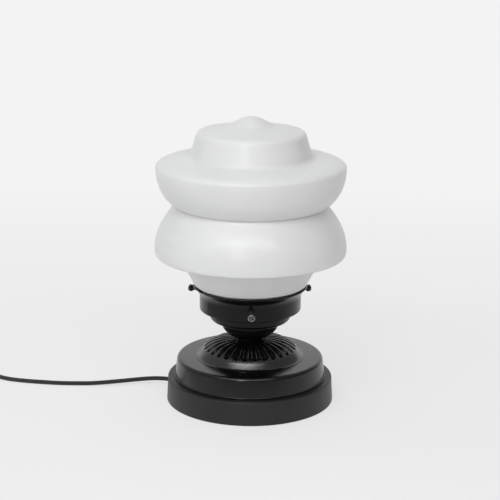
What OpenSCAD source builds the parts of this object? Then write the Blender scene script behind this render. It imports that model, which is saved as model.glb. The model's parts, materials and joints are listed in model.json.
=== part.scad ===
// Table lamp: a stepped opal glass shade in a three-screw gallery, on a fluted black base.
// Millimetres, +Z up, origin at the middle of the underside, the front is -Y.

/* [Plinth] */
// Diameter of the plinth at its foot
plinth_d = 137.6; // [130:0.2:150]
// Diameter of the plinth at its top
plinth_top_d = 135.6; // [129:0.2:148]
// Height of the plinth
plinth_h = 19.5; // [18:0.5:26]
// Rounding of the plinth's edges
plinth_edge = 0.8; // [0.4:0.1:2]
// Thickness of the plinth's top plate
plate_t = 4; // [3:0.5:5]
// Diameter of the hollow under the plinth
cavity_d = 100; // [92:1:104]
// Thickness of the felt pad
felt_t = 1.5; // [1:0.1:2.5]
// How far the felt stands out below the plinth
felt_proud = 0.3; // [0.3:0.1:0.9]
// Width of plinth left bare around the felt
felt_margin = 4; // [2:0.5:5]
// Diameter of the bottom cover
cover_d = 120; // [116:1:122]
// Thickness of the bottom cover
cover_t = 1.2; // [0.8:0.1:2]
// Height of the ballast weight
ballast_h = 11; // [8:0.5:12]
// Inner diameter of the ballast weight
ballast_bore = 38; // [32:1:44]

/* [Rod] */
// Diameter of the threaded rod
rod_d = 10; // [8:0.5:12]
// Bore of the rod, for the lead
rod_bore = 7; // [5:0.5:8]
// Height of the rod's hexagon nuts
nut_h = 3; // [2.5:0.1:3.5]
// Width of the nuts across their flats
nut_flats = 14; // [13:0.5:17]
// Thickness of the washers
washer_t = 1.2; // [0.8:0.1:1.6]

/* [Base] */
// Diameter of the canopy at its foot
canopy_d = 124; // [118:1:128]
// Diameter of the canopy at its top edge
canopy_top_d = 120; // [112:0.2:122]
// Height of the canopy
canopy_h = 17.2; // [14:0.2:20]
// Rounding of the canopy's top edge
canopy_edge = 2.8; // [1.6:0.1:4]
// Sheet thickness of the canopy, cup and gallery
sheet_t = 1; // [0.8:0.1:1.3]
// Diameter of the smooth ring round the dome
ring_d = 89.6; // [86:0.2:96]
// Height of the smooth ring
ring_h = 5; // [4:0.2:8]
// Diameter of the dome where the flutes end
dome_d = 77; // [72:0.5:79]
// Diameter of the flat on the dome's top
dome_top_d = 23; // [22:0.5:26]
// Rise of the dome above the ring
dome_rise = 9.8; // [8:0.2:12]
// Number of flutes
flute_n = 30; // [24:1:36]
// Width of the ridge between two flutes, at the rim
flute_ridge = 1.3; // [0.8:0.1:2]

/* [Gallery] */
// Diameter of the cup's neck, on the dome
cup_foot_d = 21; // [16:0.5:22]
// Height of the cup's neck
cup_neck_h = 1.9; // [1.2:0.1:3]
// Diameter of the cup at its top
cup_d = 48.4; // [44:0.2:54]
// Height of the cup
cup_h = 16.5; // [15:0.5:22]
// How far the gallery's lower step lies inside its collar
step_w = 8.4; // [6:0.1:10]
// Height of the gallery's lower step
step_h = 9.1; // [7:0.1:11]
// Room between the collar and the glass neck
neck_room = 1.1; // [0.8:0.1:2]
// Height of the straight collar
collar_h = 11.5; // [11:0.5:16]
// How far the flared lip stands out from the collar
flare_w = 5.3; // [3:0.1:6]
// Height of the flare
flare_h = 7.4; // [5:0.2:9]

/* [Thumbscrews] */
// Shank diameter of a thumbscrew
screw_d = 3; // [2.5:0.1:3.5]
// Head diameter of a thumbscrew
screw_head_d = 5.8; // [5:0.1:7]
// How far a thumbscrew's head stands out from the collar
screw_out = 16.6; // [14:0.2:20]
// Length of a thumbscrew's head
screw_head_l = 4.2; // [3.6:0.1:5]
// Direction of the front thumbscrew
screw_turn = 271; // [262:0.2:278]
// Height of the thumbscrews above the foot of the collar
screw_rise = 8.9; // [7.8:0.1:9]

/* [Shade] */
// Wall of the glass
glass_t = 3; // [2:0.1:3.4]
// Outer diameter of the shade's neck, which the gallery holds
neck_d = 79; // [76:0.2:80]
// Height of the neck
neck_h = 19; // [18:0.5:24]
// How far the foot of the band above the neck stands out from the neck
band_step = 5.9; // [5:0.1:8]
// Diameter at the top of the band
band_d = 122; // [116:0.5:126]
// Height of the band
band_h = 29.5; // [26:0.5:33]
// Rounding of the band's lower edge
band_edge = 5; // [3:0.5:5]
// Diameter of the lower bulge
bulge_d = 156.2; // [150:0.2:164]
// Height of the lower bulge
bulge_h = 38.6; // [36:0.2:44]
// Diameter of the waist between bulge and disc
waist_d = 123.8; // [118:0.2:130]
// Diameter of the upper disc
disc_d = 153.8; // [148:0.2:162]
// Height of the upper disc
disc_h = 38; // [35:0.5:44]
// Diameter at the foot of the crown
crown_foot_d = 99.6; // [96:0.2:104]
// Rounding at the foot of the crown
crown_fillet = 5; // [3:0.5:5]
// Diameter at the top of the crown
crown_d = 87; // [82:0.2:92]
// Height of the crown's side
crown_h = 21; // [19:0.5:26]
// Rounding of the crown's shoulder
crown_edge = 5; // [3.5:0.5:8]
// Height of the crown's sloping top, with its tip
pip_h = 12; // [10:0.2:16]
// Diameter at which the crown's top turns up to its tip
pip_d = 36.4; // [30:0.2:42]

/* [Lampholder] */
// Diameter of the lampholder
holder_d = 39; // [36:0.5:42]
// Height of the lampholder's cap
holder_cap_h = 17; // [15:0.5:20]
// Height of the lampholder's body
holder_body_h = 32; // [30:0.5:36]
// Wall of the lampholder
holder_t = 1.8; // [1.4:0.1:2.2]
// Outer diameter of the bulb's screw cap
bulb_cap_d = 26; // [26:0.1:26.4]
// Height of the bulb's screw cap
bulb_cap_h = 24; // [22:0.5:26]
// Diameter of the bulb's globe
bulb_d = 45; // [40:0.5:60]
// Height of the bulb above its cap
bulb_h = 54; // [50:0.5:60]

/* [Cord] */
// Diameter of the cord
cord_d = 3.6; // [3:0.1:3.9]
// Direction in which the cord leaves the plinth
cord_turn = 160; // [150:1:170]
// Height at which the cord leaves the plinth
cord_z = 6; // [6:0.1:6.6]
// Loops in the coil
coil_loops = 11; // [10:1:12]
// Diameter of the coil at the middle of its turns
coil_mid_d = 43.2; // [40:0.2:50]
// Distance from turn to turn and from layer to layer
coil_pitch = 4.6; // [4.6:0.1:5.2]

/* [Switch and plug] */
// Length of the cord switch
switch_l = 60; // [54:1:66]
// Width of the cord switch
switch_w = 24; // [22:0.5:28]
// Height of the switch's lower shell, to the middle of the cord
switch_base_h = 8; // [7:0.2:9]
// Height of the switch's upper shell
switch_cover_h = 8; // [7:0.2:9]
// Wall of the switch and of its cover
switch_t = 1.8; // [1.4:0.1:2.2]
// Length of the rocker
rocker_l = 19; // [16:0.5:22]
// Width of the rocker
rocker_w = 11; // [9:0.5:13]
// Tilt of the rocker from its middle to either end
rocker_tilt = 9; // [6:0.5:10]
// Width of the plug
plug_w = 26; // [25:0.5:30]
// Thickness of the plug
plug_t = 13.8; // [12:0.2:16]
// Length of the plug's body
plug_l = 28; // [26:0.5:34]
// Length of the plug's strain relief
relief_l = 20; // [18:0.5:26]
// Diameter of the plug's pins
pin_d = 4; // [3.8:0.1:4.8]
// Length of the plug's pins
pin_l = 19; // [17:0.5:20]
// Distance between the plug's pins
pin_gap = 19; // [17:0.2:19.4]

/* [Hidden] */
$fn = 96;

// Fits: parts that slide together, parts that must stay clear, a shaft in its bore
fit = 0.1;
clear = 0.3;
running = 0.05;
// How far a cutting solid reaches past the face that it cuts
past = 1;

// Levels, from the surface that the lamp stands on upwards
plinth_z = felt_proud;
plinth_top = plinth_z + plinth_h;
cover_top = felt_t + cover_t;
ceiling = plinth_top - plate_t;
canopy_top = plinth_top + canopy_h;
ring_top = canopy_top + ring_h;
dome_top = ring_top + dome_rise;
gallery_z = dome_top + cup_h;
collar_z = gallery_z + step_h;
flare_z = collar_z + collar_h;
lip_z = flare_z + flare_h;
screw_z = collar_z + screw_rise;
neck_z = collar_z + sheet_t + clear;
band_z = neck_z + neck_h;
bulge_z = band_z + band_h;
waist_z = bulge_z + bulge_h;
crown_z = waist_z + disc_h;
crown_top = crown_z + crown_h;
tip_z = crown_top + pip_h;
holder_z = gallery_z + sheet_t;
holder_floor = 4;
body_z = holder_z + holder_cap_h;
body_top = body_z + holder_body_h;

// Radii shared by several parts
rod_hole = rod_d / 2 + fit;
plinth_r = plinth_d / 2;
felt_r = plinth_r - felt_margin;
cover_r = cover_d / 2;
cavity_r = cavity_d / 2;
neck_r = neck_d / 2;
collar_r = neck_r + neck_room + sheet_t;
screw_reach = collar_r + screw_out;

// Cover screws, on a circle midway between the hollow and the cover's edge
cover_screw_n = 3;
cover_screw_d = 3;
cover_screw_head = 5.8;
cover_screw_l = 10;
cover_screw_r = (cavity_r + cover_r) / 2;

// Lead inside the lamp: its bend under the rod, the rod's lower end and the lead's upper end
lead_bend = ceiling - washer_t - nut_h - cord_z + 0.3;
rod_z = ceiling - washer_t - nut_h;
lead_top = body_z - 5.4;
bush_bore = cord_d / 2 + fit;
bush_r = bush_bore + 1.2;
bush_flange = 0.6;
lead_end = plinth_r - 4;
anchor_r = 30;
anchor_l = 10;
anchor_w = 14;
channel_w = anchor_w + 4;

function unit(v) = v / norm(v);
function flip(list) = [for (i = [len(list) - 1 : -1 : 0]) list[i]];
function rest(list) = [for (i = [1 : len(list) - 1]) list[i]];
function sum(list, i = 0) = i < len(list) ? list[i] + sum(list, i + 1) : 0;

// Corner [x, y, radius] between two neighbours, as points on its arc
function corner(a, b, c, steps) =
    let (u = unit([a.x - b.x, a.y - b.y]), w = unit([c.x - b.x, c.y - b.y]), turn = 180 - acos(u * w),
         half = turn / 2, centre = [b.x, b.y] + unit(u + w) * b.z / cos(half),
         p = [b.x, b.y] + u * b.z * tan(half) - centre, q = [b.x, b.y] + w * b.z * tan(half) - centre)
    b.z == 0 ? [[b.x, b.y]] : [for (i = [0 : steps]) centre + b.z * unit(p * (steps - i) + q * i)];

// Path through corners with their radii, open at both ends
function path(corners, steps = 6) = let (last = len(corners) - 1) concat(
    [[corners[0].x, corners[0].y]],
    [for (i = [1 : last - 1]) each corner(corners[i - 1], corners[i], corners[i + 1], steps)],
    [[corners[last].x, corners[last].y]]);

// Points of a cubic curve, without its first one
function curve(a, b, c, d, steps = 10) = [for (i = [1 : steps]) let (t = i / steps, s = 1 - t)
    s * s * s * a + 3 * s * s * t * b + 3 * s * t * t * c + t * t * t * d];

// Path moved to its left by t
function inset(p, t) = [for (i = [0 : len(p) - 1])
    let (u = unit(i > 0 ? p[i] - p[i - 1] : p[1] - p[0]),
         w = unit(i < len(p) - 1 ? p[i + 1] - p[i] : p[i] - p[i - 1]),
         n = [-u.y, u.x], m = unit(n + [-w.y, w.x]))
    p[i] + m * t / (m * n)];

// Distance from a point to a path
function off_line(q, a, b) = let (w = b - a, s = max(0, min(1, (q - a) * w / (w * w)))) norm(q - a - s * w);
function off_path(q, p) = min([for (i = [1 : len(p) - 1]) off_line(q, p[i - 1], p[i])]);

// Shell of revolution whose outside is the path and whose inside lies t to its left,
// without the points that a tight bend would fold over
module spun(p, t) {
    inside = [for (q = inset(p, t)) if (off_path(q, p) > 0.98 * t) q];
    rotate_extrude() polygon(concat(p, flip(inside)));
}

module ring(d, bore, h, z = 0) {
    translate([0, 0, z]) difference() {
        cylinder(d = d, h = h);
        translate([0, 0, -past]) cylinder(d = bore, h = h + 2 * past);
    }
}

module around(count, start = 0) {
    for (i = [0 : count - 1]) rotate([0, 0, start + 360 * i / count]) children();
}

// Solid along +X from x = from to x = to, round
module rod_x(d, from, to) {
    translate([from, 0, 0]) rotate([0, 90, 0]) cylinder(d = d, h = to - from);
}

// Base, from the felt upwards

module felt_pad() {
    color("dimgray") cylinder(r = felt_r, h = felt_t);
}

module cover_screw(extra = 0) {
    translate([cover_screw_r, 0, felt_t]) {
        cylinder(d1 = cover_screw_head + 2 * extra, d2 = cover_screw_d + 2 * extra, h = cover_t);
        cylinder(d = cover_screw_d + 2 * extra, h = cover_screw_l + extra);
    }
}

module bottom_cover() {
    color("gray") difference() {
        translate([0, 0, felt_t]) cylinder(r = cover_r, h = cover_t);
        around(cover_screw_n) cover_screw(fit);
    }
}

module cover_screws() {
    color("silver") around(cover_screw_n) cover_screw();
}

module plinth() {
    outline = path([
        [rod_hole, plinth_top, 0], [plinth_top_d / 2, plinth_top, plinth_edge],
        [plinth_r, plinth_z, plinth_edge / 2], [felt_r + fit, plinth_z, 0], [felt_r + fit, felt_t, 0],
        [cover_r + fit, felt_t, 0], [cover_r + fit, cover_top, 0], [cavity_r, cover_top, 0],
        [cavity_r, ceiling, 0], [rod_hole, ceiling, 0]
    ]);
    color([0.12, 0.12, 0.12]) difference() {
        rotate_extrude() polygon(outline);
        around(cover_screw_n) cover_screw(fit);
        rotate([0, 0, cord_turn]) translate([0, 0, cord_z])
            rod_x(2 * (bush_r + fit), cavity_r - past, plinth_r + past);
    }
}

module ballast_weight() {
    color("darkslategray") difference() {
        ring(cavity_d - 2 * clear, ballast_bore, ballast_h, ceiling - ballast_h);
        rotate([0, 0, cord_turn]) translate([0, -channel_w / 2, cover_top])
            cube([cavity_d, channel_w, plinth_h]);
    }
}

module threaded_rod() {
    color("goldenrod") ring(rod_d, rod_bore, holder_z + holder_floor - rod_z, rod_z);
}

module rod_nut() {
    color("silver") translate([0, 0, rod_z]) difference() {
        cylinder(d = nut_flats / cos(30), h = nut_h, $fn = 6);
        translate([0, 0, -past]) cylinder(r = rod_hole, h = nut_h + 2 * past);
    }
}

module rod_washer() {
    color("silver") ring(nut_flats + 8, 2 * rod_hole, washer_t, rod_z + nut_h);
}

module canopy() {
    foot = canopy_d / 2;
    side = canopy_top_d / 2;
    bead = 0.8;
    skirt = path([
        [foot, plinth_top, 0], [foot, plinth_top + 2 * bead, bead],
        [side, canopy_top, canopy_edge], [rod_hole, canopy_top, 0]
    ]);
    color([0.08, 0.08, 0.08]) {
        spun(skirt, sheet_t);
        rotate_extrude() translate([foot - bead / 2, plinth_top + bead]) circle(r = bead);
    }
}

// The dome's outline from the flutes' ends to its flat top, and how far the curve reaches at its ends
rim_rise = 1.9;
rim_reach = [-7, 5.7];
flat_reach = [12.5, 0.2];
dome_rim = [dome_d / 2, ring_top + rim_rise];
dome_flat = [dome_top_d / 2, dome_top];

function dome_curve(steps) = curve(dome_rim, dome_rim + rim_reach, dome_flat + flat_reach, dome_flat, steps);

// One flute: cones sunk along the dome, as wide at each end as the ridges leave
module flute() {
    sunk = 0.45;
    floor = concat([dome_rim], dome_curve(2));
    radii = [for (p = floor) p.x * (PI / flute_n - flute_ridge / dome_d)];
    axis = [for (i = [0 : len(floor) - 1]) floor[i] + [0, radii[i] * sunk]];
    for (i = [1 : len(axis) - 1]) {
        along = axis[i - 1] - axis[i];
        translate([axis[i].x, 0, axis[i].y]) rotate([0, 90 - atan2(along.y, along.x), 0])
            cylinder(r1 = radii[i], r2 = radii[i - 1], h = norm(along), $fn = 32);
    }
}

module fluted_dome() {
    base_r = ring_d / 2;
    wall = 6.3;
    recess = canopy_top + ring_h * 0.6;
    crest = dome_rim.x + 1.3;
    flange_t = 0.3;
    flange_w = 1.7;
    flange_fillet = 3;
    crest_edge = 1;
    profile = concat(
        [[rod_hole, recess], [base_r - wall, recess], [base_r - wall, canopy_top]],
        path([[base_r, canopy_top, 0], [base_r, canopy_top + flange_t, 0],
              [base_r - flange_w, canopy_top + flange_t, flange_fillet],
              [crest, ring_top, crest_edge], [dome_rim.x, dome_rim.y, 0]], 4),
        dome_curve(8),
        [[rod_hole, dome_top]]);
    color([0.07, 0.07, 0.07]) difference() {
        rotate_extrude() polygon(profile);
        around(flute_n) flute();
    }
}

// Gallery and its cup

module gallery_cup() {
    straight = 0.8;
    neck_reach = [6.5, 0.5];
    rim_fall = [0, 7];
    neck = [cup_foot_d / 2, dome_top + cup_neck_h];
    rim = [cup_d / 2, gallery_z - straight];
    bowl = concat(
        [[rod_hole, dome_top], [neck.x, dome_top], neck],
        curve(neck, neck + neck_reach, rim - rim_fall, rim, 8),
        [[rim.x, gallery_z]]);
    color([0.08, 0.08, 0.08]) spun(bowl, sheet_t);
}

module gallery() {
    step = collar_r - step_w;
    step_edge = 3.5;
    shoulder = 0.4;
    collar_edge = 1.4;
    flare_low = [0, flare_h * 0.35];
    flare_high = [2, 1.2];
    flare = [collar_r, flare_z];
    lip = [collar_r + flare_w, lip_z];
    dish = concat(
        path([[rod_hole, gallery_z, 0], [step, gallery_z, step_edge], [step, collar_z - shoulder, sheet_t],
              [collar_r, collar_z, collar_edge], [flare.x, flare.y, 0]], 4),
        curve(flare, flare + flare_low, lip - flare_high, lip, 8));
    color([0.08, 0.08, 0.08]) difference() {
        spun(dish, sheet_t);
        around(3, screw_turn) translate([0, 0, screw_z])
            rod_x(2 * (bush_neck_r + fit), collar_r / 2, collar_r + past);
    }
}

// Threaded bushes in the collar, thumbscrews in the bushes
bush_wall = 0.8;
bush_flange_w = 1.6;
bush_flange_t = 1;
bush_neck_r = screw_d / 2 + bush_wall;
bush_flange_r = screw_d / 2 + bush_flange_w;

module screw_bushes() {
    color([0.1, 0.1, 0.1]) around(3, screw_turn) translate([0, 0, screw_z]) difference() {
        union() {
            rod_x(2 * bush_neck_r, collar_r - sheet_t, collar_r + bush_flange_t);
            rod_x(2 * bush_flange_r, collar_r + running, collar_r + bush_flange_t);
        }
        rod_x(screw_d + 2 * running, 0, collar_r + 2 * past + bush_flange_t);
    }
}

module thumbscrew(turn) {
    slot_w = 0.9;
    slot_depth = 0.8;
    tip = neck_r + clear;
    seat = screw_reach - screw_head_l;
    head = screw_head_d / 2;
    shank = screw_d / 2;
    knob = path([
        [0, tip, 0], [shank, tip, 0.4], [shank, seat, 0.6], [head, seat + screw_head_l * 0.4, 0.9],
        [head, screw_reach, 0.8], [0, screw_reach, 0]
    ]);
    color([0.06, 0.06, 0.06]) rotate([0, 0, turn]) translate([0, 0, screw_z]) difference() {
        rotate([0, 90, 0]) rotate_extrude() polygon(knob);
        translate([screw_reach - slot_depth, -head, -slot_w / 2]) cube([2 * slot_depth, 2 * head, slot_w]);
    }
}

module thumbscrew_front() {
    thumbscrew(screw_turn);
}

module thumbscrew_right() {
    thumbscrew(screw_turn + 120);
}

module thumbscrew_left() {
    thumbscrew(screw_turn + 240);
}

// Shade: its outside from the foot of the neck up to the tip, and how far its curves reach at their ends
bulge_foot = [10, 0];
bulge_low = [0, 11.2];
bulge_high = [0, 17.8];
waist_low = [3.8, -7.2];
waist_high = [8, 4];
disc_low = [0, 15.4];
disc_high = [0, 5.2];
crown_foot = [5.5, -0.4];
pip_rise = 5.1;
pip_round = 13;
tip_r = 2;

function shade_path() =
    let (band = [band_d / 2, bulge_z], bulge = [bulge_d / 2, bulge_z + bulge_h * 0.06],
         waist = [waist_d / 2, waist_z], disc = [disc_d / 2, waist_z + disc_h * 0.8],
         foot = [crown_foot_d / 2, crown_z], meet = foot + crown_foot)
    concat(
        path([[neck_r, neck_z, 0], [neck_r, band_z, 0.5], [neck_r + band_step, band_z, band_edge],
              [band.x, band.y, 0]], 5),
        curve(band, band + bulge_foot, bulge - bulge_low, bulge),
        curve(bulge, bulge + bulge_high, waist + waist_low, waist),
        curve(waist, waist + waist_high, disc - disc_low, disc),
        curve(disc, disc + disc_high, meet + crown_foot, meet),
        rest(path([[meet.x, meet.y, 0], [foot.x, foot.y, crown_fillet], [crown_d / 2, crown_top, crown_edge],
                   [pip_d / 2, crown_top + pip_rise, pip_round], [tip_r, tip_z, tip_r], [0, tip_z, 0]], 5)));

module glass_shade() {
    color([0.95, 0.95, 0.93]) spun(shade_path(), glass_t);
}

// Lampholder and bulb
holder_r = holder_d / 2;
insert_z = body_z - 4;
insert_h = 11;
thread_bore = bulb_cap_d + 2 * clear;
thread_z = insert_z + insert_h;
contact_z = thread_z;
contact_t = 0.8;
terminal_r = 10;
terminal_head = [2.4, 1.6];
terminal_shank = [1.5, 6];
bulb_contact_z = contact_z + 3.4;
bulb_cap_z = bulb_contact_z + 2.6;
bulb_z = bulb_cap_z + bulb_cap_h;
bulb_cap_t = 0.6;

module holder_cap() {
    outline = path([
        [rod_hole, holder_z, 0], [holder_r - 3, holder_z, 2],
        [holder_r, holder_z + 7, 3], [holder_r, body_z, 0]
    ]);
    color([0.1, 0.1, 0.1]) {
        spun(outline, holder_t);
        ring(2 * rod_hole + 8, 2 * rod_hole, holder_floor - holder_t, holder_z + holder_t);
    }
}

module holder_body() {
    color([0.1, 0.1, 0.1]) {
        ring(holder_d, holder_d - 2 * holder_t, holder_body_h, body_z);
        ring(holder_d - 2 * holder_t, thread_bore + 4, holder_t, body_top - holder_t);
    }
}

module holder_insert() {
    color("ivory") difference() {
        translate([0, 0, insert_z]) cylinder(r = holder_r - holder_t - fit, h = insert_h);
        around(2) terminal_screw(fit);
    }
}

module holder_thread() {
    thread_t = 0.8;
    color("goldenrod")
        ring(thread_bore + 2 * thread_t, thread_bore, body_top - holder_t - clear - thread_z, thread_z);
}

module holder_contact() {
    color("goldenrod") {
        translate([0, 0, contact_z]) cylinder(r = 5, h = contact_t);
        translate([0, 0, contact_z]) cylinder(r = 2, h = bulb_contact_z - contact_z - clear);
    }
}

module terminal_screw(extra = 0) {
    translate([terminal_r, 0, insert_z - terminal_head.y]) {
        cylinder(r = terminal_head.x + extra, h = terminal_head.y);
        cylinder(r = terminal_shank.x + extra, h = terminal_head.y + terminal_shank.y + extra);
    }
}

module terminal_screws() {
    color("silver") around(2) terminal_screw();
}

module bulb_contact() {
    button = 1.2;
    height = bulb_cap_z - bulb_contact_z;
    color("silver") translate([0, 0, bulb_contact_z]) {
        cylinder(r = 4.5, h = height);
        translate([0, 0, button]) cylinder(r = 9, h = height - button);
    }
}

module bulb_cap() {
    color("silver") ring(bulb_cap_d, bulb_cap_d - 2 * bulb_cap_t, bulb_cap_h, bulb_cap_z);
}

module bulb_globe() {
    middle = bulb_z + bulb_h - bulb_d / 2;
    stem = bulb_cap_d / 2 - bulb_cap_t - fit;
    foot = [bulb_cap_d / 2, bulb_z];
    side = [bulb_d / 2, middle];
    globe = concat(
        [[0, bulb_cap_z], [stem, bulb_cap_z], [stem, bulb_z], foot],
        curve(foot, foot + [0, 12], side - [0, 14], side),
        [for (a = [10 : 10 : 90]) [bulb_d / 2 * cos(a), middle + bulb_d / 2 * sin(a)]]);
    color([0.97, 0.96, 0.9]) rotate_extrude() polygon(globe);
}

// Lead inside the lamp, with its bush in the plinth's wall and its clamp under the plate
module inner_lead() {
    color([0.1, 0.1, 0.1]) {
        rotate([0, 0, cord_turn]) {
            translate([0, 0, cord_z]) rod_x(cord_d, lead_bend, lead_end);
            translate([lead_bend, 0, cord_z + lead_bend]) rotate([90, 0, 0])
                rotate_extrude(angle = 90, start = 180) translate([lead_bend, 0]) circle(d = cord_d);
        }
        translate([0, 0, cord_z + lead_bend]) cylinder(d = cord_d, h = lead_top - cord_z - lead_bend);
    }
}

module cord_anchor() {
    color("gray") rotate([0, 0, cord_turn]) difference() {
        translate([anchor_r, -anchor_w / 2, cover_top + clear])
            cube([anchor_l, anchor_w, ceiling - cover_top - clear]);
        translate([0, 0, cord_z]) rod_x(cord_d + 2 * fit, anchor_r - past, anchor_r + anchor_l + past);
    }
}

module cord_bush() {
    color([0.06, 0.06, 0.06]) rotate([0, 0, cord_turn]) translate([0, 0, cord_z]) difference() {
        rod_x(2 * bush_r, cavity_r, plinth_r + bush_flange);
        rod_x(2 * bush_bore, cavity_r - past, plinth_r + bush_flange + past);
    }
}

// Cord outside the lamp: places of what lies on it
switch_mid = [-266, 52];
switch_near = switch_mid.x + switch_l / 2;
switch_far = switch_mid.x - switch_l / 2;
coil_mid = [-292, -6];
tie_t = 0.7;
tie_w = 9;
tie_turn = 60;
coil_z = cord_d / 2 + tie_t + clear;
coil_layers = 4;
coil_turns = (coil_loops - (coil_layers - 1) / 2) / coil_layers;
coil_span = coil_turns * coil_pitch;
coil_in = (coil_mid_d - coil_span) / 2;
coil_out = coil_in + coil_span;
coil_side = coil_mid.x - coil_out;
coil_top = coil_z + (coil_layers - 1) * coil_pitch;
tail_l = 34;
plug_mouth = coil_mid.y - tail_l;
plug_front = plug_mouth - relief_l - plug_l;
entry = 4;
exit_dir = [cos(cord_turn), sin(cord_turn)];

function exit_at(r) = [exit_dir.x * r, exit_dir.y * r, cord_z];

// Stretch from the plinth to the switch, flat on the surface beyond the first few diameters
lead_route = concat([exit_at(lead_end), exit_at(plinth_r + 3), exit_at(plinth_r + 8)], [
    [-79, 27.6, 5.8], [-87, 27.8, 5.4], [-96, 27.2, 4.8], [-106, 26.4, 4], [-116, 25.7, 3.2],
    [-126, 25, 2.5], [-136, 24.6, 2], [-146, 24.5, 1.9], [-156, 24.8, 1.8], [-167, 25.8, 1.8],
    [-177, 27.4, 1.8], [-188, 29.4, 1.8], [-198, 31.9, 1.8], [-207, 34.9, 1.9], [-216, 39, 2.6],
    [-223, 44, 4.2], [-229, 49.2, 6.6]
], [[switch_near + 2, switch_mid.y, switch_base_h], [switch_near - entry, switch_mid.y, switch_base_h]]);

// Stretch from the switch to the coil
link_route = concat([
    [switch_far + entry, switch_mid.y, switch_base_h], [switch_far - 3, switch_mid.y, switch_base_h]
], [
    [-306, 50.6, 6.8], [-313, 46, 5.2], [-317.2, 39, 3.8], [-318.8, 30, 3], [-319, 21, 2.8], [-319, 14, 2.8]
], [[coil_side, coil_mid.y + cord_d + 8, coil_z], [coil_side, coil_mid.y + cord_d, coil_z]]);

// Stretch from the coil down to the plug, as distance along it and height above the plug's middle
tail_fall = coil_top - plug_t / 2;
tail_route = concat(
    [for (step = [[0, 1], [4, 1], [9, 0.88], [14, 0.62], [19, 0.33], [24, 0.09]])
        [coil_side, coil_mid.y - cord_d - step.x, plug_t / 2 + tail_fall * step.y]],
    [[coil_side, plug_mouth + 2, plug_t / 2], [coil_side, plug_mouth - entry, plug_t / 2]]);

// Place on the coil after u turns: the spiral goes in and out, and climbs in the half turn
// where it reverses
function coil_at(u) =
    let (leg = coil_turns + 0.5, k = min(floor(u / leg), coil_layers - 1), w = u - k * leg,
         part = min(w, coil_turns) / coil_turns, rise = max(w - coil_turns, 0) / 0.5,
         r = k % 2 == 0 ? coil_out - coil_span * part : coil_in + coil_span * part, a = 180 + 360 * u)
    [coil_mid.x + r * cos(a), coil_mid.y + r * sin(a),
     coil_z + coil_pitch * (k + rise * rise * (3 - 2 * rise))];

coil_rings = 24;
coil_route = concat(
    [[coil_side, coil_mid.y + cord_d, coil_z]],
    [for (i = [0 : coil_loops * coil_rings]) coil_at(i / coil_rings)],
    [[coil_side, coil_mid.y - cord_d, coil_top]]);

function route_length(p) = sum([for (i = [1 : len(p) - 1]) norm(p[i] - p[i - 1])]);

// Least distance between points more than half a turn apart, less the cord's own thickness
function least_gap(p, apart) = min([for (i = [0 : len(p) - 1 - apart])
    min([for (j = [i + apart : len(p) - 1]) norm(p[i] - p[j])])]) - cord_d;

union() {  // cord_coil
    echo(coil_gap = least_gap(coil_route, coil_rings / 2));
    echo(cord_length = route_length(lead_route) + route_length(link_route) + route_length(coil_route)
         + route_length(tail_route) + switch_l - 2 * entry);
}

// Tube along a route, its ends square to their last stretch
module tube(p, sides) {
    last = len(p) - 1;
    rings = [for (i = [0 : last])
        let (t = unit(p[min(i + 1, last)] - p[max(i - 1, 0)]), s = unit(cross(t, [0, 0, 1])), u = cross(s, t))
        for (k = [0 : sides - 1])
            let (a = 360 * (k + 0.5) / sides) p[i] + cord_d / 2 * (cos(a) * s + sin(a) * u)];
    walls = [for (i = [0 : last - 1], k = [0 : sides - 1])
        let (a = i * sides + k, b = i * sides + (k + 1) % sides)
        each [[a, b, b + sides], [a, b + sides, a + sides]]];
    far = last * sides;
    caps = [for (k = [1 : sides - 2]) each [[0, k + 1, k], [far, far + k, far + k + 1]]];
    polyhedron(points = rings, faces = concat(walls, caps));
}

module cord_lead() {
    color([0.1, 0.1, 0.1]) tube(lead_route, 8);
}

module cord_link() {
    color([0.1, 0.1, 0.1]) tube(link_route, 8);
}

module cord_coil() {
    color([0.1, 0.1, 0.1]) tube(coil_route, 6);
}

module cord_tail() {
    color([0.1, 0.1, 0.1]) tube(tail_route, 8);
}

// Band round the bundle of turns, clear of the innermost one over the band's whole width
module cord_tie() {
    inner = sqrt(pow(coil_in - cord_d / 2, 2) - pow(tie_w / 2, 2)) - clear;
    low = coil_z - cord_d / 2 - clear;
    room = [coil_out + cord_d / 2 + clear - inner, coil_top - coil_z + cord_d + 2 * clear];
    color("dimgray") translate([coil_mid.x, coil_mid.y, 0]) rotate([0, 0, tie_turn]) difference() {
        translate([inner - tie_t, -tie_w / 2, low - tie_t])
            cube([room.x + 2 * tie_t, tie_w, room.y + 2 * tie_t]);
        translate([inner, -tie_w, low]) cube([room.x, 2 * tie_w, room.y]);
    }
}

// Cord switch: two shells, a rocker on a pin, contacts and screws
rocker_pin_d = 2;
rocker_lug = rocker_pin_d / 2 + 1.6;
rocker_lug_t = 2;
rocker_side = 0.5;
rocker_z = switch_base_h + switch_cover_h - switch_t - rocker_pin_d / 2 - clear;
rocker_up = 4.2;
rocker_down = 1.8;
switch_screw = [switch_l / 2 - 12, -6.4];
switch_screw_d = 2.4;
switch_screw_l = 12;
switch_screw_head = [4.4, 1.4];
switch_post_d = 5.6;

module switch_outline(grow = 0) {
    r = switch_w / 2 + grow;
    span = switch_l / 2 - switch_w / 2;
    square([2 * span, 2 * r], center = true);
    for (side = [-1, 1]) translate([side * span, 0]) circle(r = r);
}

module switch_place() {
    translate([switch_mid.x, switch_mid.y, 0]) children();
}

module switch_shell(h, floor_z) {
    difference() {
        linear_extrude(h) switch_outline();
        translate([0, 0, floor_z]) linear_extrude(h - switch_t + past) switch_outline(-switch_t);
    }
}

module switch_cord_holes() {
    translate([0, 0, switch_base_h]) rod_x(cord_d + 2 * fit, -switch_l, switch_l);
}

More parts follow.
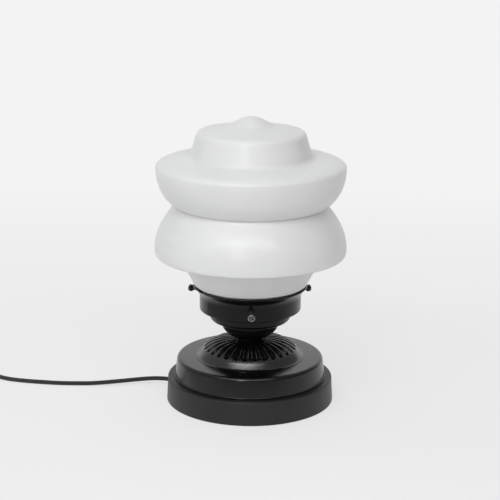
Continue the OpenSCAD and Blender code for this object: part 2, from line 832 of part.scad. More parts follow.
module at_switch_screws(z = 0) {
    for (side = [-1, 1]) translate([side * switch_screw.x, side * switch_screw.y, z]) children();
}

module switch_screw_holes() {
    at_switch_screws(-past) {
        cylinder(d = switch_screw_d + 2 * fit, h = switch_screw_l + past);
        cylinder(d = switch_screw_head.x + 2 * fit, h = switch_screw_head.y + past);
    }
}

module switch_base() {
    color([0.05, 0.05, 0.05]) switch_place() difference() {
        union() {
            switch_shell(switch_base_h, switch_t);
            at_switch_screws() cylinder(d = switch_post_d, h = switch_base_h);
        }
        switch_cord_holes();
        switch_screw_holes();
    }
}

module switch_cover() {
    lug_y = rocker_w / 2 + rocker_side + rocker_lug_t / 2;
    lug_h = rocker_lug + rocker_pin_d / 2 + clear + switch_t / 2;
    top = switch_base_h + switch_cover_h;
    color([0.05, 0.05, 0.05]) switch_place() difference() {
        union() {
            translate([0, 0, switch_base_h]) switch_shell(switch_cover_h, -past);
            for (side = [-1, 1])
                translate([-rocker_lug, side * lug_y - rocker_lug_t / 2, rocker_z - rocker_lug])
                    cube([2 * rocker_lug, rocker_lug_t, lug_h]);
            at_switch_screws(switch_base_h) cylinder(d = switch_post_d, h = switch_cover_h - switch_t / 2);
        }
        switch_cord_holes();
        switch_screw_holes();
        translate([-rocker_l / 2 - clear, -rocker_w / 2 - clear, top - switch_t - past])
            cube([rocker_l + 2 * clear, rocker_w + 2 * clear, switch_t + 2 * past]);
        translate([0, 0, rocker_z]) rotate([90, 0, 0])
            cylinder(d = rocker_pin_d + 2 * running, h = switch_w - 2 * switch_t, center = true);
    }
}

module switch_pin() {
    color("silver") switch_place() translate([0, 0, rocker_z]) rotate([90, 0, 0])
        cylinder(d = rocker_pin_d, h = rocker_w + 2 * rocker_side + 2 * rocker_lug_t, center = true);
}

module switch_rocker() {
    end = 0.6;
    color([0.08, 0.08, 0.08]) switch_place() translate([0, 0, rocker_z]) rotate([0, -rocker_tilt, 0])
        difference() {
            translate([end - rocker_l / 2, -rocker_w / 2, -rocker_down])
                cube([rocker_l - 2 * end, rocker_w, rocker_up + rocker_down]);
            rotate([90, 0, 0])
                cylinder(d = rocker_pin_d + 2 * running, h = rocker_w + 2 * past, center = true);
        }
}

module switch_contacts() {
    blade = [16, 2, 4];
    color("goldenrod") switch_place() for (side = [-1, 1])
        translate([-blade.x / 2, side * (switch_w / 2 - switch_t - 3) - blade.y / 2, switch_t]) cube(blade);
}

module switch_screws() {
    color("silver") switch_place() at_switch_screws() {
        cylinder(d = switch_screw_d, h = switch_screw_l - clear);
        cylinder(d = switch_screw_head.x, h = switch_screw_head.y);
    }
}

// Two-pin plug, lying flat, with a tapered strain relief; each pin has a thinner root in the body
pin_hold = 12;
pin_root_d = pin_d - 0.8;

module plug_body() {
    tail_w = 11;
    grip = 13;
    relief_t = 1.2;
    half = [[plug_w / 2, grip, 6], [tail_w / 2, plug_l - 2, 4], [tail_w / 2, plug_l, 0]];
    outline = path(concat(
        [[-plug_w / 2, 0, 0], [plug_w / 2, 0, 0]], half, [for (p = flip(half)) [-p.x, p.y, p.z]],
        [[-plug_w / 2, 0, 0]]));
    color([0.05, 0.05, 0.05]) translate([coil_side, plug_front, 0]) difference() {
        union() {
            linear_extrude(plug_t) polygon(outline);
            translate([0, plug_l - past, plug_t / 2]) rotate([-90, 0, 0])
                cylinder(d1 = tail_w, d2 = cord_d + 2 * relief_t, h = relief_l + past);
        }
        translate([0, plug_l + relief_l + past, plug_t / 2]) rotate([90, 0, 0])
            cylinder(d = cord_d + 2 * fit, h = entry + past + clear);
        for (side = [-1, 1]) translate([side * pin_gap / 2, pin_hold, plug_t / 2]) rotate([90, 0, 0])
            cylinder(d = pin_root_d + 2 * fit, h = pin_hold + past);
    }
}

module plug_pins() {
    color("silver") translate([coil_side, plug_front, plug_t / 2]) for (side = [-1, 1])
        translate([side * pin_gap / 2, 0, 0]) rotate([90, 0, 0]) {
            cylinder(d = pin_d, h = pin_l);
            translate([0, 0, -pin_hold]) cylinder(d = pin_root_d, h = pin_hold + past);
        }
}

felt_pad();
bottom_cover();
cover_screws();
plinth();
ballast_weight();
threaded_rod();
rod_nut();
rod_washer();
canopy();
fluted_dome();
gallery_cup();
gallery();
screw_bushes();
thumbscrew_front();
thumbscrew_right();
thumbscrew_left();
glass_shade();
holder_cap();
holder_body();
holder_insert();
holder_thread();
holder_contact();
terminal_screws();
bulb_globe();
bulb_cap();
bulb_contact();
inner_lead();
cord_anchor();
cord_bush();
cord_lead();
switch_base();
switch_cover();
switch_rocker();
switch_pin();
switch_contacts();
switch_screws();
cord_link();
cord_coil();
cord_tail();
cord_tie();
plug_body();
plug_pins();
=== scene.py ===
"""Finished surfaces, cord and stage of a table lamp with a stepped opal glass shade.

Metres, +Z up, origin in the middle of the underside, the viewer is on the -Y side.
"""

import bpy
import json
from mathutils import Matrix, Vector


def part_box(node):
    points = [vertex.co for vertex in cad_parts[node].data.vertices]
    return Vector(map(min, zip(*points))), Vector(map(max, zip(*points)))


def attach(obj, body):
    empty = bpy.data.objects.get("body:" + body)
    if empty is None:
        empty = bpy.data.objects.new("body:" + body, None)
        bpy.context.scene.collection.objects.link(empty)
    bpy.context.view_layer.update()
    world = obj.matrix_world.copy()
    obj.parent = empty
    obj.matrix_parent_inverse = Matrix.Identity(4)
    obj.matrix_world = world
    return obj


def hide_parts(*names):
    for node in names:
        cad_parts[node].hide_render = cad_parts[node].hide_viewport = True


bl_info = {
    "name": "Opal table lamp",
    "version": (1, 0, 0),
    "blender": (4, 5, 0),
    "location": "3D View > Sidebar > Lamp",
    "description": "Dresses the frame of a table lamp with its glass, lacquer, cord and stage",
    "category": "Object",
}

import functools
import json
import math

import bmesh
import bpy
from bpy.props import FloatProperty, FloatVectorProperty, IntProperty, PointerProperty
from mathutils import Matrix, Vector

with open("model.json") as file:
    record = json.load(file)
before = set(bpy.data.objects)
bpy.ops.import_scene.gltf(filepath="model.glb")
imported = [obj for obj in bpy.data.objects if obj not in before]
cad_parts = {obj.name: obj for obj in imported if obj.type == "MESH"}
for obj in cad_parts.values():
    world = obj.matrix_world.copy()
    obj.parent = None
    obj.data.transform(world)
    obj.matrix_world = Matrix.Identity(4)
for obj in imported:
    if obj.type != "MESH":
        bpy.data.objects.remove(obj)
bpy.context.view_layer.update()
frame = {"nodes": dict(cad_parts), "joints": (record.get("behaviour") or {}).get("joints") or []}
MM = 0.001


# Places that several pieces share, read from the frame

def low(node):
    """Lowest corner of a frame node."""
    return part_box(node)[0]


def high(node):
    """Highest corner of a frame node."""
    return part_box(node)[1]


def half_width(node):
    """Half the width of a frame node, which is its radius where it is turned."""
    return (high(node).x - low(node).x) / 2


def half_depth(node):
    """Half the depth of a frame node, from front to back."""
    return (high(node).y - low(node).y) / 2


PLINTH_TOP = high("plinth").z
CANOPY_TOP = low("fluted_dome").z
DOME_TOP = high("fluted_dome").z
GALLERY_FLOOR = low("gallery").z
SCREW_HEIGHT = (low("thumbscrew_front").z + high("thumbscrew_front").z) / 2
SCREW_TURN = 271
SCREWS = {"front": SCREW_TURN, "right": SCREW_TURN + 120, "left": SCREW_TURN + 240}


# Sizes and colours that a user would change

def length(name, default, about):
    """A size in metres, for a property group."""
    return FloatProperty(name=name, description=about, default=default, unit="LENGTH", subtype="DISTANCE",
                         precision=5)


def colour(name, default, about):
    """A linear colour, for a property group."""
    return FloatVectorProperty(name=name, description=about, default=default, subtype="COLOR", min=0, max=1)


def share(name, default, about):
    """A number from 0 to 1, for a property group."""
    return FloatProperty(name=name, description=about, default=default, min=0, max=1, subtype="FACTOR")


class LampShadeSizes(bpy.types.PropertyGroup):
    """Outline of the glass shade, from its neck up."""

    wall: length("Wall", 0.003, "Thickness of the glass")
    neck_r: length("Neck radius", 0.0395, "Outer radius of the neck that the gallery holds")
    neck_h: length("Neck height", 0.019, "Height of the neck")
    band_step: length("Band step", 0.0059, "How far the band's foot stands out from the neck")
    band_r: length("Band radius", 0.061, "Radius at the top of the band")
    band_h: length("Band height", 0.0295, "Height of the band")
    band_edge: length("Band edge", 0.005, "Rounding of the band's lower edge")
    bulge_r: length("Bulge radius", half_width("glass_shade"), "Radius of the lower bulge")
    bulge_h: length("Bulge height", 0.0386, "Height of the lower bulge")
    waist_r: length("Waist radius", 0.0619, "Radius of the crease between bulge and disc")
    disc_r: length("Disc radius", 0.0769, "Radius of the upper disc")
    disc_h: length("Disc height", 0.038, "Height of the upper disc")
    crown_foot_r: length("Crown foot radius", 0.0498, "Radius at the foot of the crown")
    crown_fillet: length("Crown fillet", 0.005, "Rounding at the foot of the crown")
    crown_r: length("Crown radius", 0.0435, "Radius at the top of the crown")
    crown_h: length("Crown height", 0.021, "Height of the crown's side")
    crown_edge: length("Crown edge", 0.005, "Rounding of the crown's shoulder")
    pip_r: length("Pip radius", 0.0182, "Radius at which the crown's top turns up to its tip")
    pip_rise: length("Pip rise", 0.0051, "Rise of the crown's top up to that turn")
    pip_round: length("Pip rounding", 0.013, "Rounding of that turn")
    tip_r: length("Tip radius", 0.005, "Radius at which the pip's side meets its top")
    tip_round: length("Tip rounding", 0.014, "Rounding of the pip's top")


class LampBaseSizes(bpy.types.PropertyGroup):
    """Plinth, canopy, dome, cup, gallery and thumbscrews."""

    plinth_top_r: length("Plinth top radius", 0.0678, "Radius of the plinth at its top")
    plinth_edge: length("Plinth edge", 0.0008, "Rounding of the plinth's edges")
    sheet: length("Sheet", 0.001, "Thickness of the spun sheet metal")
    canopy_r: length("Canopy radius", 0.062, "Radius of the canopy at its foot")
    canopy_top_r: length("Canopy top radius", 0.06, "Radius at the top of the canopy's wall")
    canopy_edge: length("Canopy edge", 0.0028, "Rounding of the canopy's top edge")
    canopy_bead: length("Canopy bead", 0.0008, "Radius of the bead round the canopy's foot")
    ring_h: length("Ring height", 0.005, "Height of the smooth ring round the dome")
    flange_w: length("Flange width", 0.0017, "How far the ring's flange stands out from its side")
    flange_t: length("Flange thickness", 0.0003, "Thickness of that flange")
    flange_fillet: length("Flange fillet", 0.003, "Rounding between the flange and the ring's side")
    dome_r: length("Dome radius", 0.0385, "Radius at which the flutes end")
    dome_top_r: length("Dome top radius", 0.0115, "Radius of the flat on the dome's top")
    rim_rise: length("Rim rise", 0.0019, "Rise from the ring to the flutes' ends")
    flutes: IntProperty(name="Flutes", description="Number of flutes", default=30, min=12, max=60)
    flute_depth: length("Flute depth", 0.0021, "Depth of a flute at its outer end")
    flute_ridge: share("Ridge", 0.3, "Share of the pitch that the ridge between two flutes takes")
    cup_foot_r: length("Cup foot radius", 0.0105, "Radius of the cup's neck")
    cup_neck_h: length("Cup neck height", 0.0019, "Height of the cup's neck")
    cup_r: length("Cup radius", 0.0242, "Radius of the cup at its top")
    step_r: length("Step radius", 0.0332, "Radius of the gallery's lower step")
    step_h: length("Step height", 0.0091, "Height of the gallery's lower step")
    step_edge: length("Step edge", 0.0035, "Rounding of the step's lower edge")
    collar_r: length("Collar radius", 0.0416, "Radius of the gallery's straight collar")
    collar_h: length("Collar height", 0.0115, "Height of the straight collar")
    collar_edge: length("Collar edge", 0.0014, "Rounding of the collar's lower edge")
    screw_r: length("Screw radius", 0.0015, "Shank radius of a thumbscrew")
    screw_head_r: length("Screw head radius", 0.0029, "Head radius of a thumbscrew")
    screw_head_l: length("Screw head length", 0.0042, "Length of a thumbscrew's head")
    screw_out: length("Screw reach", 0.0166, "How far a thumbscrew stands out from the collar")


class LampCordSizes(bpy.types.PropertyGroup):
    """Cord, its coil, and the switch and plug on it."""

    cord_d: length("Cord diameter", 0.0036, "Diameter of the braided cord")
    coil_pitch: length("Coil pitch", 0.0046, "Distance from turn to turn and from layer to layer")
    coil_mid_d: length("Coil diameter", 0.0432, "Diameter of the coil at the middle of its turns")
    loops: IntProperty(name="Loops", description="Turns in the coil", default=11, min=8, max=14)
    switch_edge: length("Switch edge", 0.0026, "Rounding of the switch's shells")
    plug_edge: length("Plug edge", 0.0034, "Rounding of the plug")
    relief_l: length("Relief length", 0.020, "Length of the plug's strain relief")


class LampColours(bpy.types.PropertyGroup):
    """Finishes, as linear colours."""

    glass: colour("Glass", (0.83, 0.833, 0.836), "Opal glass of the shade")
    lacquer: colour("Lacquer", (0.0025, 0.0025, 0.0026), "Satin black lacquer on the metal")
    plinth: colour("Plinth", (0.013, 0.013, 0.0132), "Matt black lacquer on the plinth")
    cord: colour("Cord", (0.012, 0.012, 0.0125), "Braid of the cord")
    plastic: colour("Plastic", (0.012, 0.012, 0.0125), "Moulded switch and plug")
    ground: colour("Ground", (0.91, 0.91, 0.91), "Floor and backdrop")


def shade_sizes():
    return bpy.context.scene.lamp_shade


def base_sizes():
    return bpy.context.scene.lamp_base


def cord_sizes():
    return bpy.context.scene.lamp_cord


def colours():
    return bpy.context.scene.lamp_colours


# Outlines

def corner(a, b, c, steps):
    """Points on the arc that rounds the corner b = (x, y, radius) between its neighbours."""
    at, radius = Vector(b[:2]), b[2]
    if radius == 0:
        return [at]
    u = (Vector(a[:2]) - at).normalized()
    w = (Vector(c[:2]) - at).normalized()
    half = (math.pi - u.angle(w)) / 2
    centre = at + (u + w).normalized() * radius / math.cos(half)
    first = at + u * radius * math.tan(half) - centre
    last = at + w * radius * math.tan(half) - centre
    return [centre + radius * first.lerp(last, i / steps).normalized() for i in range(steps + 1)]


def outline(corners, steps=10):
    """Path through corners (x, y, radius), open at both ends."""
    points = [Vector(corners[0][:2])]
    for a, b, c in zip(corners, corners[1:], corners[2:]):
        points += corner(a, b, c, steps)
    return points + [Vector(corners[-1][:2])]


def curve(a, b, c, d, steps=24):
    """Points of a cubic curve, without its first one."""
    a, b, c, d = (Vector(p) for p in (a, b, c, d))
    made = []
    for i in range(1, steps + 1):
        t = i / steps
        s = 1 - t
        made.append(s ** 3 * a + 3 * s * s * t * b + 3 * s * t * t * c + t ** 3 * d)
    return made


def inset(points, t):
    """The path moved to its left by t, without the points that a tight bend would fold over."""
    moved = []
    for i, p in enumerate(points):
        u = (p - points[i - 1] if i else points[1] - p).normalized()
        w = (points[i + 1] - p if i < len(points) - 1 else p - points[i - 1]).normalized()
        n = Vector((-u.y, u.x))
        m = (n + Vector((-w.y, w.x))).normalized()
        moved.append(p + m * t / m.dot(n))
    return [q for q in moved if min(off_line(q, a, b) for a, b in zip(points, points[1:])) > 0.98 * t]


def off_line(q, a, b):
    """Distance from a point to a stretch of a path."""
    w = b - a
    s = max(0, min(1, (q - a).dot(w) / w.dot(w)))
    return (q - a - s * w).length


def shell(points, t, rim=0.0):
    """Closed outline of a sheet with its outside on the path, its inside t to the left, and a round rim."""
    inside = inset(points, t)
    end = corner(points[-2], (*points[-1], rim), inside[-1], 4)
    end += corner(points[-1], (*inside[-1], rim), inside[-2], 4)
    return points[:-1] + end + inside[-2::-1]


def reach(x, y):
    """How far a curve reaches at its end, from millimetres."""
    return Vector((x, y)) * MM


def vectors(*points):
    """Plain points of an outline."""
    return [Vector(p) for p in points]


def dense(points, step):
    """A closed path with its long stretches divided."""
    made = []
    for a, b in zip(points, points[1:] + points[:1]):
        parts = max(1, math.ceil((b - a).length / step))
        made += [a.lerp(b, i / parts) for i in range(parts)]
    return made + points[:1]


# Meshes

SHARP = math.radians(36)
WELD = 1e-7
HERE = Matrix.Identity(4)


def coat(mesh, finish):
    """Gives a mesh one finish."""
    mesh.materials.clear()
    mesh.materials.append(material(finish))


def made_object(name, mesh, finish):
    """Object of a finished mesh, at the origin, with one finish."""
    obj = bpy.data.objects.new(name, mesh)
    bpy.context.scene.collection.objects.link(obj)
    coat(mesh, finish)
    return obj


def smooth(mesh, sharp=SHARP):
    """Shades a mesh smooth, with its edges sharp past an angle."""
    mesh.shade_smooth()
    mesh.set_sharp_from_angle(angle=sharp)


def from_bmesh(name, bm, finish, sharp=SHARP):
    """Object of a bmesh whose doubles are merged and whose faces point outwards."""
    bmesh.ops.remove_doubles(bm, verts=bm.verts, dist=WELD)
    bmesh.ops.recalc_face_normals(bm, faces=bm.faces)
    mesh = bpy.data.meshes.new(name)
    bm.to_mesh(mesh)
    bm.free()
    smooth(mesh, sharp)
    return made_object(name, mesh, finish)


def turn(bm, profile, segments, closed, place=HERE):
    """Adds to bm what the (radius, height) profile sweeps round Z, moved to its place."""
    rings = []
    for r, z in profile:
        count = segments if r > 1e-6 else 1
        angles = [2 * math.pi * k / segments for k in range(count)]
        rings.append([bm.verts.new(place @ Vector((r * math.cos(a), r * math.sin(a), z))) for a in angles])
    pairs = list(zip(rings, rings[1:])) + ([(rings[-1], rings[0])] if closed else [])
    for a, b in pairs:
        for k in range(segments):
            n = (k + 1) % segments
            quad = [a[k % len(a)], a[n % len(a)], b[n % len(b)], b[k % len(b)]]
            face = list(dict.fromkeys(quad))
            if len(face) > 2:
                bm.faces.new(face)


def turned(name, profile, finish, segments=192, closed=True, place=HERE):
    """Object turned from a profile: closed for a ring, open where it starts and ends on the axis."""
    bm = bmesh.new()
    turn(bm, profile, segments, closed, place)
    return from_bmesh(name, bm, finish)


def extruded(name, points, bottom, top, finish, edges=(0, 0), place=HERE):
    """Object of a flat outline between two heights, with its lower and its upper edge rounded."""
    bm = bmesh.new()
    face = bm.faces.new([bm.verts.new((p[0], p[1], bottom)) for p in points])
    raised = bmesh.ops.extrude_face_region(bm, geom=[face])["geom"]
    upper = [v for v in raised if isinstance(v, bmesh.types.BMVert)]
    bmesh.ops.translate(bm, verts=upper, vec=(0, 0, top - bottom))
    for height, edge in zip((bottom, top), edges):
        if edge:
            rim = [e for e in bm.edges if all(abs(v.co.z - height) < WELD for v in e.verts)]
            bmesh.ops.bevel(bm, geom=rim, offset=edge, segments=6, profile=0.5, affect="EDGES",
                            clamp_overlap=True)
    bmesh.ops.transform(bm, matrix=place, verts=bm.verts)
    return from_bmesh(name, bm, finish)


def evaluated(obj):
    """Turns an object's modifiers into its plain mesh."""
    graph = bpy.context.evaluated_depsgraph_get()
    mesh = bpy.data.meshes.new_from_object(obj.evaluated_get(graph))
    obj.modifiers.clear()
    old = obj.data
    obj.data = mesh
    bpy.data.meshes.remove(old)


def carve(obj, cutter):
    """Cuts one object out of another and deletes the cutter."""
    cut = obj.modifiers.new("Cut", "BOOLEAN")
    cut.object = cutter
    cut.solver = "EXACT"
    evaluated(obj)
    bpy.data.objects.remove(cutter)
    smooth(obj.data)


def place_piece(obj, body, slot, *nodes):
    """Sets what a finished piece rides on and hides the frame nodes that it stands for; its slot is not used.
    """
    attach(obj, body)
    if nodes:
        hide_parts(*nodes)


def dress(finish, *nodes):
    """Gives frame nodes that stay in view their finish."""
    for node in nodes:
        coat(frame["nodes"][node].data, finish)


# Nodes

def give(tree, socket, value):
    """Sets an input to a value, or links it to another node's output."""
    if isinstance(value, bpy.types.NodeSocket):
        tree.links.new(value, socket)
    else:
        socket.default_value = value


def feed(tree, node, *values, **named):
    """Gives a node its first inputs in their order and others by name, and returns its outputs."""
    for socket, value in zip(node.inputs, values):
        give(tree, socket, value)
    for name, value in named.items():
        give(tree, node.inputs[name.replace("_", " ")], value)
    return node.outputs


def add(tree, kind, *values, options=(), **named):
    """Outputs of a new node, whose (name, value) options are set before its inputs."""
    node = tree.nodes.new(kind)
    for name, value in options:
        setattr(node, name, value)
    return feed(tree, node, *values, **named)


def calc(tree, operation, *values):
    """Values and numbers put together by a math operation."""
    return add(tree, "ShaderNodeMath", *values, options=[("operation", operation)])["Value"]


def coordinates(tree, output="Object", scale=(1, 1, 1), turn_z=0.0):
    """Coordinates of a pattern, stretched and turned."""
    source = add(tree, "ShaderNodeTexCoord")[output]
    return add(tree, "ShaderNodeMapping", Vector=source, Scale=scale, Rotation=(0, 0, turn_z))["Vector"]


def noise(tree, scale, detail=3.0, roughness=0.5, stretch=(1, 1, 1)):
    """Soft random pattern on the object, with features of about 1 / scale metres."""
    return add(tree, "ShaderNodeTexNoise", Vector=coordinates(tree, scale=stretch), Scale=scale,
               Detail=detail, Roughness=roughness)["Fac"]


def spread(tree, value, low_value, high_value, start=0.3, end=0.7):
    """A value mapped from start..end to another range."""
    return add(tree, "ShaderNodeMapRange", value, start, end, low_value, high_value)["Result"]


def ramp(tree, value, first, last, start=0.3, end=0.7):
    """Colour that goes from one tone to another while a value goes from start to end."""
    node = tree.nodes.new("ShaderNodeValToRGB")
    for stop, place, tone in zip(node.color_ramp.elements, (start, end), (first, last)):
        stop.position = place
        stop.color = (*tone, 1)
    return feed(tree, node, value)["Color"]


def tint(tone, factor):
    """A colour made lighter or darker."""
    return tuple(min(1, c * factor) for c in tone)


def mottle(tree, pattern, tone, dark, light):
    """A tone that a pattern makes darker and lighter."""
    return ramp(tree, pattern, tint(tone, dark), tint(tone, light))


def bump(tree, height, depth, strength):
    """Normal of a surface that a height pattern raises, depth metres at most."""
    return add(tree, "ShaderNodeBump", Strength=strength, Distance=depth, Height=height)["Normal"]


# Finishes: each recipe feeds a new material's principled shader

def opal_glass(tree, surface, tone):
    """Satin-etched opal glass: milky, with a faint cloud in the melt and a silky skin.

    Its roughness stays above 0.28, because smoother glass comes out blotched in a denoised render.
    """
    cloud = noise(tree, 28, 2, stretch=(1, 1, 0.6))
    feed(tree, surface, Base_Color=mottle(tree, cloud, tone, 0.985, 1.01),
         Roughness=spread(tree, noise(tree, 90, 4), 0.29, 0.34), IOR=1.5, Subsurface_Weight=0.3,
         Subsurface_Radius=(1.0, 1.0, 0.98), Subsurface_Scale=0.006,
         Normal=bump(tree, noise(tree, 1400), 0.00002, 0.3))


def lacquer(tree, surface, tone, rough, ior, face, grain, peel=0.00002):
    """Sprayed black lacquer: fine orange peel, slow changes of gloss and tone, a shine dulled face on."""
    patches = noise(tree, 55, 4, 0.6)
    gloss = noise(tree, 160, 5, 0.65)
    feed(tree, surface, Base_Color=mottle(tree, patches, tone, 0.86, 1.16),
         Roughness=spread(tree, gloss, rough - 0.03, rough + 0.04), IOR=ior,
         Specular_Tint=(face, face, face, 1), Normal=bump(tree, noise(tree, grain, 3, 0.6), peel, 0.5))


def highlight_lacquer(tree, surface, tone, highlight_tone):
    """Black lacquer that turns into lighter bare metal where the piece's highlight marks say so: a painted
    highlight.
    """
    # Painted highlight: marked points get a lighter, metallic tone, broken up by fine noise.
    marks = add(tree, "ShaderNodeAttribute", options=[("attribute_name", "wear")])["Fac"]
    highlight_share = calc(tree, "MULTIPLY", marks, spread(tree, noise(tree, 900, 4, 0.6), 0.65, 1))
    feed(tree, surface, Base_Color=ramp(tree, highlight_share, tone, highlight_tone, 0, 1), Metallic=highlight_share,
         Roughness=spread(tree, highlight_share, 0.18, 0.32, 0, 1))


def metal(tree, surface, tone, rough, brushed=(1, 1, 1)):
    """Bare metal with fine marks of its making."""
    marks = noise(tree, 900, 5, 0.7, brushed)
    feed(tree, surface, Base_Color=mottle(tree, marks, tone, 0.82, 1.08), Metallic=1,
         Roughness=spread(tree, marks, rough - 0.06, rough + 0.1), Normal=bump(tree, marks, 0.00003, 0.4))


def moulded(tree, surface, tone, rough, grain=1600, depth=0.00004):
    """Moulded plastic or rubber with a fine spark-eroded grain."""
    feed(tree, surface, Base_Color=mottle(tree, noise(tree, 240), tone, 0.88, 1.14),
         Roughness=spread(tree, noise(tree, 420, 4), rough - 0.05, rough + 0.07),
         Normal=bump(tree, noise(tree, grain, 2), depth, 0.5))


def felt_cloth(tree, surface, dark, light):
    """Pressed felt: matted fibres with no direction."""
    fibres = noise(tree, 1500, 6, 0.8)
    feed(tree, surface, Base_Color=ramp(tree, fibres, dark, light, 0.3, 0.75), Roughness=0.95,
         Sheen_Weight=0.4, Normal=bump(tree, fibres, 0.0003, 0.8))


def braid(tree, surface, tone):
    """Black textile braid: two sets of strands that cross on the cord's own map, with painted shade in the
    gaps between them.
    """
    strands = []
    for lean in (1, -1):
        way = coordinates(tree, "UV", turn_z=lean * math.radians(42))
        wave = add(tree, "ShaderNodeTexWave", Vector=way, Scale=1.0, Distortion=0.6, Detail=1.0)
        strands.append(wave["Fac"])
    fuzz = noise(tree, 2600)
    height = calc(tree, "ADD", calc(tree, "MAXIMUM", *strands), calc(tree, "MULTIPLY", fuzz, 0.35))
    # Painted shade: the tone follows the strands' height, dark in the gaps between strands and lighter on
    # their crowns.
    feed(tree, surface, Base_Color=ramp(tree, height, tint(tone, 0.45), tint(tone, 2.1), 0.35, 1.0),
         Roughness=spread(tree, fuzz, 0.62, 0.85), Sheen_Weight=0.25, Sheen_Roughness=0.4,
         Normal=bump(tree, height, 0.0003, 0.9))


def frosted_bulb(tree, surface, dark, light):
    """Frosted bulb glass with a faint mottle."""
    feed(tree, surface, Base_Color=ramp(tree, noise(tree, 300, 4), dark, light), Roughness=0.45,
         Subsurface_Weight=0.2, Subsurface_Scale=0.004, Normal=bump(tree, noise(tree, 2200, 2), 0.00002, 0.4))


def paper(tree, surface, tone):
    """Pale sweep that looks lit from behind at its far end, in mirrored light too, with softened shadows, and
    painted shade that darkens it towards the front.
    """
    back = add(tree, "ShaderNodeSeparateXYZ", coordinates(tree))["Y"]
    # Painted shade: the ground's colour turns darker in front of the shade edge.
    lit = spread(tree, back, 0, 1, STAGE.table_edge - STAGE.table_fade, STAGE.table_edge)
    feed(tree, surface, Base_Color=ramp(tree, lit, tint(tone, STAGE.dark_front), tone, 0, 1),
         Roughness=0.9, Specular_IOR_Level=0.1)
    path = add(tree, "ShaderNodeLightPath")
    mirrored = calc(tree, "MAXIMUM", path["Is Glossy Ray"], path["Is Transmission Ray"])
    wall = spread(tree, back, STAGE.glow_near, STAGE.glow_far, STAGE.glow_from, STAGE.glow_to)
    front = spread(tree, lit, STAGE.glow_far, STAGE.glow_near, 0, 1)
    looked_at = calc(tree, "MULTIPLY", path["Is Camera Ray"], calc(tree, "MAXIMUM", wall, front))
    reflected = calc(tree, "MULTIPLY", mirrored, calc(tree, "MULTIPLY", wall, lit))
    glow = add(tree, "ShaderNodeEmission", (*STAGE.glow, 1))[0]
    mixed = add(tree, "ShaderNodeMixShader", calc(tree, "MAXIMUM", looked_at, reflected),
                surface.outputs[0], glow)
    feed(tree, tree.nodes["Material Output"], mixed[0])


# Each finish with its recipe: a tone given as a word is one of the lamp's colours

FINISHES = {
    "satin_opal_glass": (opal_glass, dict(tone="glass")),
    "satin_black_lacquer": (lacquer, dict(tone="lacquer", rough=0.21, ior=1.8, face=0.4, grain=1900)),
    "worn_black_lacquer": (lacquer, dict(tone="lacquer", rough=0.2, ior=2.1, face=0.5, grain=2100)),
    "silk_black_lacquer": (lacquer, dict(tone="lacquer", rough=0.22, ior=1.6, face=0.32, grain=1700)),
    "matt_black_lacquer": (lacquer, dict(tone="plinth", rough=0.44, ior=1.5, face=0.8, grain=1300,
                                         peel=0.00004)),
    # Painted highlight: lacquer that turns to lighter bare metal where a piece is marked.
    "rubbed_black_lacquer": (highlight_lacquer, dict(tone="lacquer", highlight_tone=(0.27, 0.27, 0.275))),
    "black_braid": (braid, dict(tone="cord")),
    "black_plastic": (moulded, dict(tone="plastic", rough=0.42)),
    "gloss_holder_plastic": (moulded, dict(tone=(0.014, 0.014, 0.0145), rough=0.28)),
    "grey_plastic": (moulded, dict(tone=(0.2, 0.2, 0.2), rough=0.5)),
    "tie_strap": (moulded, dict(tone=(0.02, 0.02, 0.021), rough=0.6, grain=2400, depth=0.00012)),
    "moulded_rubber": (moulded, dict(tone=(0.012, 0.012, 0.012), rough=0.6)),
    "glazed_ceramic": (moulded, dict(tone=(0.72, 0.69, 0.62), rough=0.2)),
    "zinc_plated_steel": (metal, dict(tone=(0.55, 0.55, 0.56), rough=0.34, brushed=(1, 1, 0.15))),
    "plain_brass": (metal, dict(tone=(0.66, 0.47, 0.2), rough=0.3, brushed=(1, 1, 0.15))),
    "rolled_aluminium": (metal, dict(tone=(0.72, 0.72, 0.73), rough=0.3, brushed=(1, 1, 0.2))),
    "nickel_plate": (metal, dict(tone=(0.7, 0.69, 0.67), rough=0.2)),
    "cast_iron": (metal, dict(tone=(0.09, 0.09, 0.095), rough=0.6)),
    "pressed_felt": (felt_cloth, dict(dark=(0.008, 0.008, 0.008), light=(0.045, 0.045, 0.046))),
    "frosted_bulb_glass": (frosted_bulb, dict(dark=(0.83, 0.82, 0.78), light=(0.88, 0.87, 0.84))),
    "paper_ground": (paper, dict(tone="ground")),
}


def material(finish):
    """Material of a finish, made at its first use."""
    found = bpy.data.materials.get(finish)
    if found:
        return found
    recipe, values = FINISHES[finish]
    if isinstance(values.get("tone"), str):
        values = {**values, "tone": getattr(colours(), values["tone"])}
    made = bpy.data.materials.new(finish)
    made.use_nodes = True
    tree = made.node_tree
    recipe(tree, tree.nodes["Principled BSDF"], **values)
    return made


# Stage

class CAMERA:
    """Place of the viewer, fitted to the photo."""

    place = (-0.0005, -1.2415, 0.4594)
    down = math.radians(15.0)
    roll = math.radians(0.37)
    lens = 113.55
    sensor = 36.0


